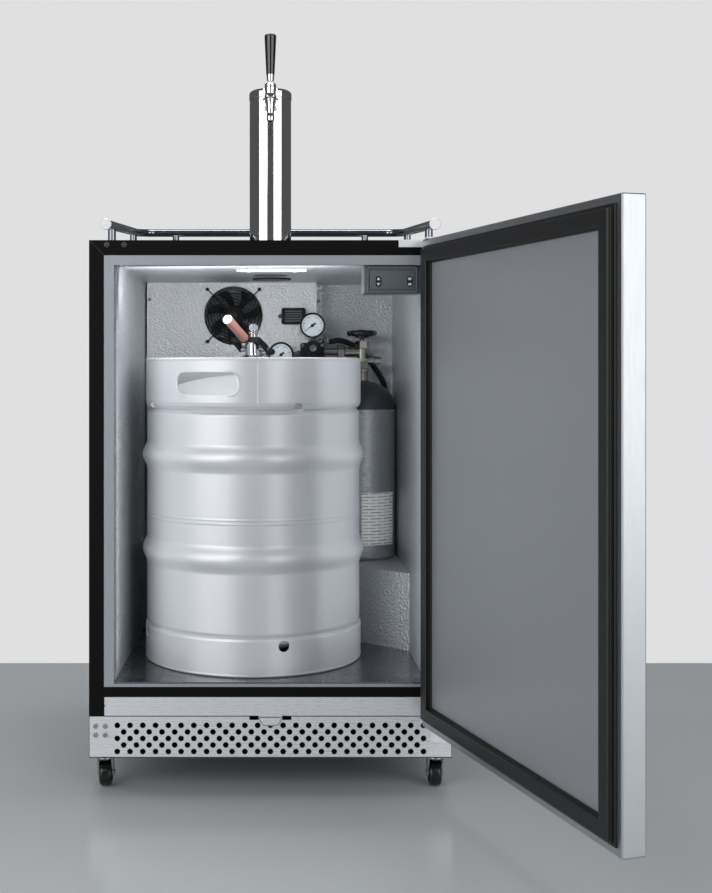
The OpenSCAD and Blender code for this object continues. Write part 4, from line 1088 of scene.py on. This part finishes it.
for step in range(ANGLES + 1):
    a = math.radians(-90 + LABEL_FROM + (LABEL_TO - LABEL_FROM) * step / ANGLES)
    way = Vector((math.cos(a), math.sin(a), 0))
    for ring, radius in ((front, LABEL_R * MM), (back, (BOTTLE_R - 0.2) * MM)):
        ring.append([shape.verts.new(CYLINDER + way * radius + Vector((0, 0, h * MM)))
                     for h in (LABEL_LOW, LABEL_HIGH)])
for step in range(ANGLES):
    a, b = front[step], front[step + 1]
    face = shape.faces.new((a[0], b[0], b[1], a[1]))
    for loop, (u, v) in zip(face.loops, ((step, 0), (step + 1, 0), (step + 1, 1), (step, 1))):
        loop[uv].uv = (u / ANGLES, v * 1.4)
    c, d = back[step], back[step + 1]
    shape.faces.new((c[0], c[1], d[1], d[0]))
    shape.faces.new((a[0], c[0], d[0], b[0]))
    shape.faces.new((a[1], b[1], d[1], c[1]))
for a, c in ((front[0], back[0]), (front[-1], back[-1])):
    shape.faces.new((a[0], a[1], c[1], c[0]))
piece("cylinder_label", shape, label_paper, "cabinet")
nickel, tree, surface = finish("nickel_plated_brass", "#c3bfb4", 0.2, 1.0)
speckle(tree, surface, 2.0, 0.15, 0.27)
shape = bmesh.new()
turned(shape, mm([(0, 349), (14, 352.2), (12.5, 354), (12.5, 368.4), (13.6, 369.6), (13.6, 375),
                  (10, 375.6), (9.6, 391), (9.5, 416), (8, 417), (0, 417)]),
       CYLINDER, steps=56)
block(shape, CYLINDER + Vector((-11, -11, 376)) * MM, CYLINDER + Vector((11, 11, 391)) * MM, 2 * MM)
HEX_R = 14.4
packing = [(HEX_R * math.cos(math.radians(60 * i + 10)),
            HEX_R * math.sin(math.radians(60 * i + 10))) for i in range(6)]
made = prism(shape, mm(packing), 417 * MM, 431 * MM, "XY")
turn_about(made, Matrix.Translation((CYLINDER.x, CYLINDER.y, CYLINDER.z)))
turned(shape, mm([(4.56, 431), (11.6, 431), (11.2, 432), (4.56, 432)]), CYLINDER, steps=40, loop=True)
OUTLET = CYLINDER + Vector((0, 0, 393)) * MM
turned(shape, mm([(0, 4), (7, 4), (7, 11), (9, 12), (9, 23), (8, 24.6), (0, 24.6)]), OUTLET, (1, 0, 0), 40)
turned(shape, mm([(0, 24), (5, 24), (7.6, 25), (7.6, 37), (6.4, 38.4), (3, 38.6), (0, 38.6)]), OUTLET,
       (1, 0, 0), 6)
INLET = CYLINDER + Vector((0, 0, 410)) * MM
turned(shape, mm([(0, 4), (8.6, 4), (8.6, 14), (9.5, 15), (9.5, 33.6), (8.4, 35), (0, 35)]), INLET,
       (-1, 0, 0), 40)
piece("cylinder_valve", shape, nickel, "cabinet", ["co2_valve"])
LOBES, AROUND, ACROSS = 8, 128, 14
shape = bmesh.new()
rings = []
for step in range(AROUND):
    a = math.tau * step / AROUND
    middle = 25.4 + 1.1 * math.cos(LOBES * a)
    ring = []
    for turn in range(ACROSS):
        b = math.tau * turn / ACROSS
        radius = (middle + 4 * math.cos(b)) * MM
        ring.append(shape.verts.new(CYLINDER + Vector((radius * math.cos(a), radius * math.sin(a),
                                                       (447.4 + 5.6 * math.sin(b)) * MM))))
    rings.append(ring)
for ring, other in zip(rings, rings[1:] + rings[:1]):
    for turn in range(ACROSS):
        nxt = (turn + 1) % ACROSS
        shape.faces.new((ring[turn], ring[nxt], other[nxt], other[turn]))
turned(shape, mm([(0, 433), (4.4, 433), (4.5, 437.4), (12, 437.6), (15, 439.6), (15, 442.6), (12, 445),
                  (11.6, 452), (9.6, 453.8), (6, 454), (5.4, 453), (3, 453),
                  (2.6, 454.6), (0, 454.8)]), CYLINDER, steps=48)
for sixth in range(6):
    a = math.radians(60 * sixth + 15)
    way = Vector((math.cos(a), math.sin(a), 0))
    swept(shape, [CYLINDER + way * 9 * MM + Vector((0, 0, 447 * MM)),
                  CYLINDER + way * 23 * MM + Vector((0, 0, 447 * MM))], 3.4 * MM, 12)
piece("lobed_handwheel", shape, handle_gloss, "gas_wheel", ["co2_handwheel"])
shape = bmesh.new()
turned(shape, mm([(0, 420.6), (4.5, 420.6), (4.5, 432.9), (0, 432.9)]), CYLINDER, steps=32)
piece("handwheel_stem", shape, mirror_chrome, "gas_wheel")

# ---- Regulator and gauges ----------------------------------------------------
# A black die-cast regulator with a chrome adjusting screw in a round boss, four cap screws,
# plated fittings, and two 50 mm gauges with grey dials: line pressure and cylinder pressure.
low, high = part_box("regulator_screw")
REG = Vector(((low[0] + high[0]) / 2, 0.165, (low[2] + high[2]) / 2))


def at_reg(x, y, z):
    return REG + Vector((x, y, z)) * MM


shape = bmesh.new()
block(shape, at_reg(-24, -13.6, -36), at_reg(24, 15, 12), 4 * MM, 3)
turned(shape, mm([(6.06, 12), (15.6, 12), (15.6, 33), (16, 34), (16, 37), (15, 38), (7.6, 38), (6.06, 36)]),
       REG, (0, -1, 0), 48, loop=True)
for x in (-19.5, 19.5):
    for z in (-30, 6.6):
        turned(shape, mm([(0, 12), (5.4, 12), (5.4, 14.4), (0, 14.4)]), at_reg(x, 0, z), (0, -1, 0), 20)
piece("regulator_casting", shape, cast, "cabinet", ["regulator_body"])
shape = bmesh.new()
for x in (-19.5, 19.5):
    for z in (-30, 6.6):
        turned(shape, mm([(0, 14.4), (4, 14.4), (4, 17.4), (3.4, 18), (2.2, 18), (2, 16), (0, 16)]),
               at_reg(x, 0, z), (0, -1, 0), 24)
piece("regulator_cap_screws", shape, plated, "cabinet")
shape = bmesh.new()
turned(shape, mm([(0, 12), (5, 12), (5, 22.4), (0, 22.4)]), at_reg(0, 0, 0), steps=24)
made = prism(shape, mm([(8.5 * math.cos(math.radians(60 * i)),
                         8.5 * math.sin(math.radians(60 * i))) for i in range(6)]), 12.4 * MM, 21 * MM,
             "XY")
turn_about(made, Matrix.Translation(REG))
turned(shape, mm([(0, 23), (7, 23), (7, 56), (0, 56)]), at_reg(0, 7, -6), (1, 0, 0), 32)
turned(shape, mm([(0, 50), (13.4, 50), (15, 51.4), (15, 63.6), (13.4, 65), (0, 65)]), at_reg(0, 7, -6),
       (1, 0, 0), 6)
turned(shape, mm([(0, 22), (6, 22), (6, 38.3), (0, 38.3)]), at_reg(0, 0, -12), (-1, 0, 0), 24)
turned(shape, mm([(0, 24.4), (8, 24.4), (8, 31), (0, 31)]), at_reg(0, 0, -12), (-1, 0, 0), 6)
turned(shape, mm([(0, 14), (6.5, 14), (6.5, 22), (5, 23), (5, 26), (6.4, 27), (6.4, 33), (0, 33)]),
       at_reg(0, 7, 15), (1, 0, 0), 32)
turned(shape, mm([(0, 8), (7, 8), (7, 14), (5, 15.6), (0, 15.6)]), at_reg(14, 7, 0), steps=32)
turned(shape, mm([(0, 22), (8, 22), (9, 23), (9, 29), (8, 30), (0, 30)]), at_reg(0, 7, 15), (1, 0, 0), 6)
piece("regulator_fittings", shape, nickel, "cabinet")
shape = bmesh.new()
turned(shape, mm([(0, 14.2), (6, 14.2), (6, 45), (7, 46), (7.5, 47), (7.5, 51), (6.6, 52), (3.4, 52),
                  (3, 50), (0, 50)]), REG, (0, -1, 0), 36)
piece("adjusting_screw_chrome", shape, mirror_chrome, "adjusting_screw", ["regulator_screw"])
gauge_black, tree, surface = finish("gauge_case_black", "#17181a", 0.26)
speckle(tree, surface, 2.0, 0.2, 0.32)
dial_grey, tree, surface = finish("gauge_dial", "#c9d0d8", 0.4, Coat_Weight=0.3, Coat_Roughness=0.06)
speckle(tree, surface, 1.5, 0.34, 0.46)
needle_black, tree, surface = finish("needle_black", "#101011", 0.4)
speckle(tree, surface, 2.0, 0.35, 0.45)
GAUGES = ((1, 84.0, 791.5), (2, 21.2, 733.0))
cases, dials, marks = bmesh.new(), bmesh.new(), bmesh.new()
for number, x, z in GAUGES:
    centre = Vector((x * MM, REG.y, z * MM))
    turned(cases, mm([(0, -3.5), (22, -3.5), (24, -2), (24.5, 0), (24.5, 15), (25.3, 15.6), (25.5, 17),
                      (25.2, 18.2), (24.2, 18.6), (22.8, 18.2), (21.8, 16.4),
                      (21.6, 12.2), (0, 12.2)]), centre, (0, -1, 0), 72)
    turned(dials, mm([(0, 12.3), (21.5, 12.3), (21.5, 13.1), (0, 13.1)]), centre, (0, -1, 0), 64)
    for tick in range(26):
        a = math.radians(-127 + 254 * tick / 25)
        long_tick = tick % 5 == 0
        inner, half = (14.6 if long_tick else 17), (0.5 if long_tick else 0.28)
        corners = ((-half, inner), (half, inner), (half, 19.4), (-half, 19.4))
        outline = [(u * math.cos(a) + v * math.sin(a), v * math.cos(a) - u * math.sin(a))
                   for u, v in corners]
        made = prism(marks, mm(outline), -13.3 * MM, -13.0 * MM)
        turn_about(made, Matrix.Translation(centre))
    a = math.radians(-127)
    outline = [(-2.2, -7.5), (2.2, -7.5), (1.1, -2), (0.9, 0), (0.3, 16.4), (-0.3, 16.4), (-0.9, 0),
               (-1.1, -2)]
    outline = [(u * math.cos(a) + v * math.sin(a), v * math.cos(a) - u * math.sin(a)) for u, v in outline]
    shape = bmesh.new()
    made = prism(shape, mm(outline), -15.6 * MM, -14.9 * MM)
    turn_about(made, Matrix.Translation(centre))
    turned(shape, mm([(1.56, 14.6), (3, 14.6), (3.2, 15.6), (2.6, 16.4), (1.56, 16.4)]), centre, (0, -1, 0),
           24, loop=True)
    piece(f"needle_{number}_pointer", shape, needle_black, f"needle_{number}",
          [f"gauge_needle_{number}"])
    turned(cases, mm([(0, 12), (1.5, 12), (1.5, 16.6), (1.1, 17), (0, 17)]), centre, (0, -1, 0), 16)
piece("gauge_cases", cases, gauge_black, "cabinet", ["pressure_gauges"])
piece("gauge_dials", dials, dial_grey, "cabinet")
piece("gauge_scale_marks", marks, needle_black, "cabinet")
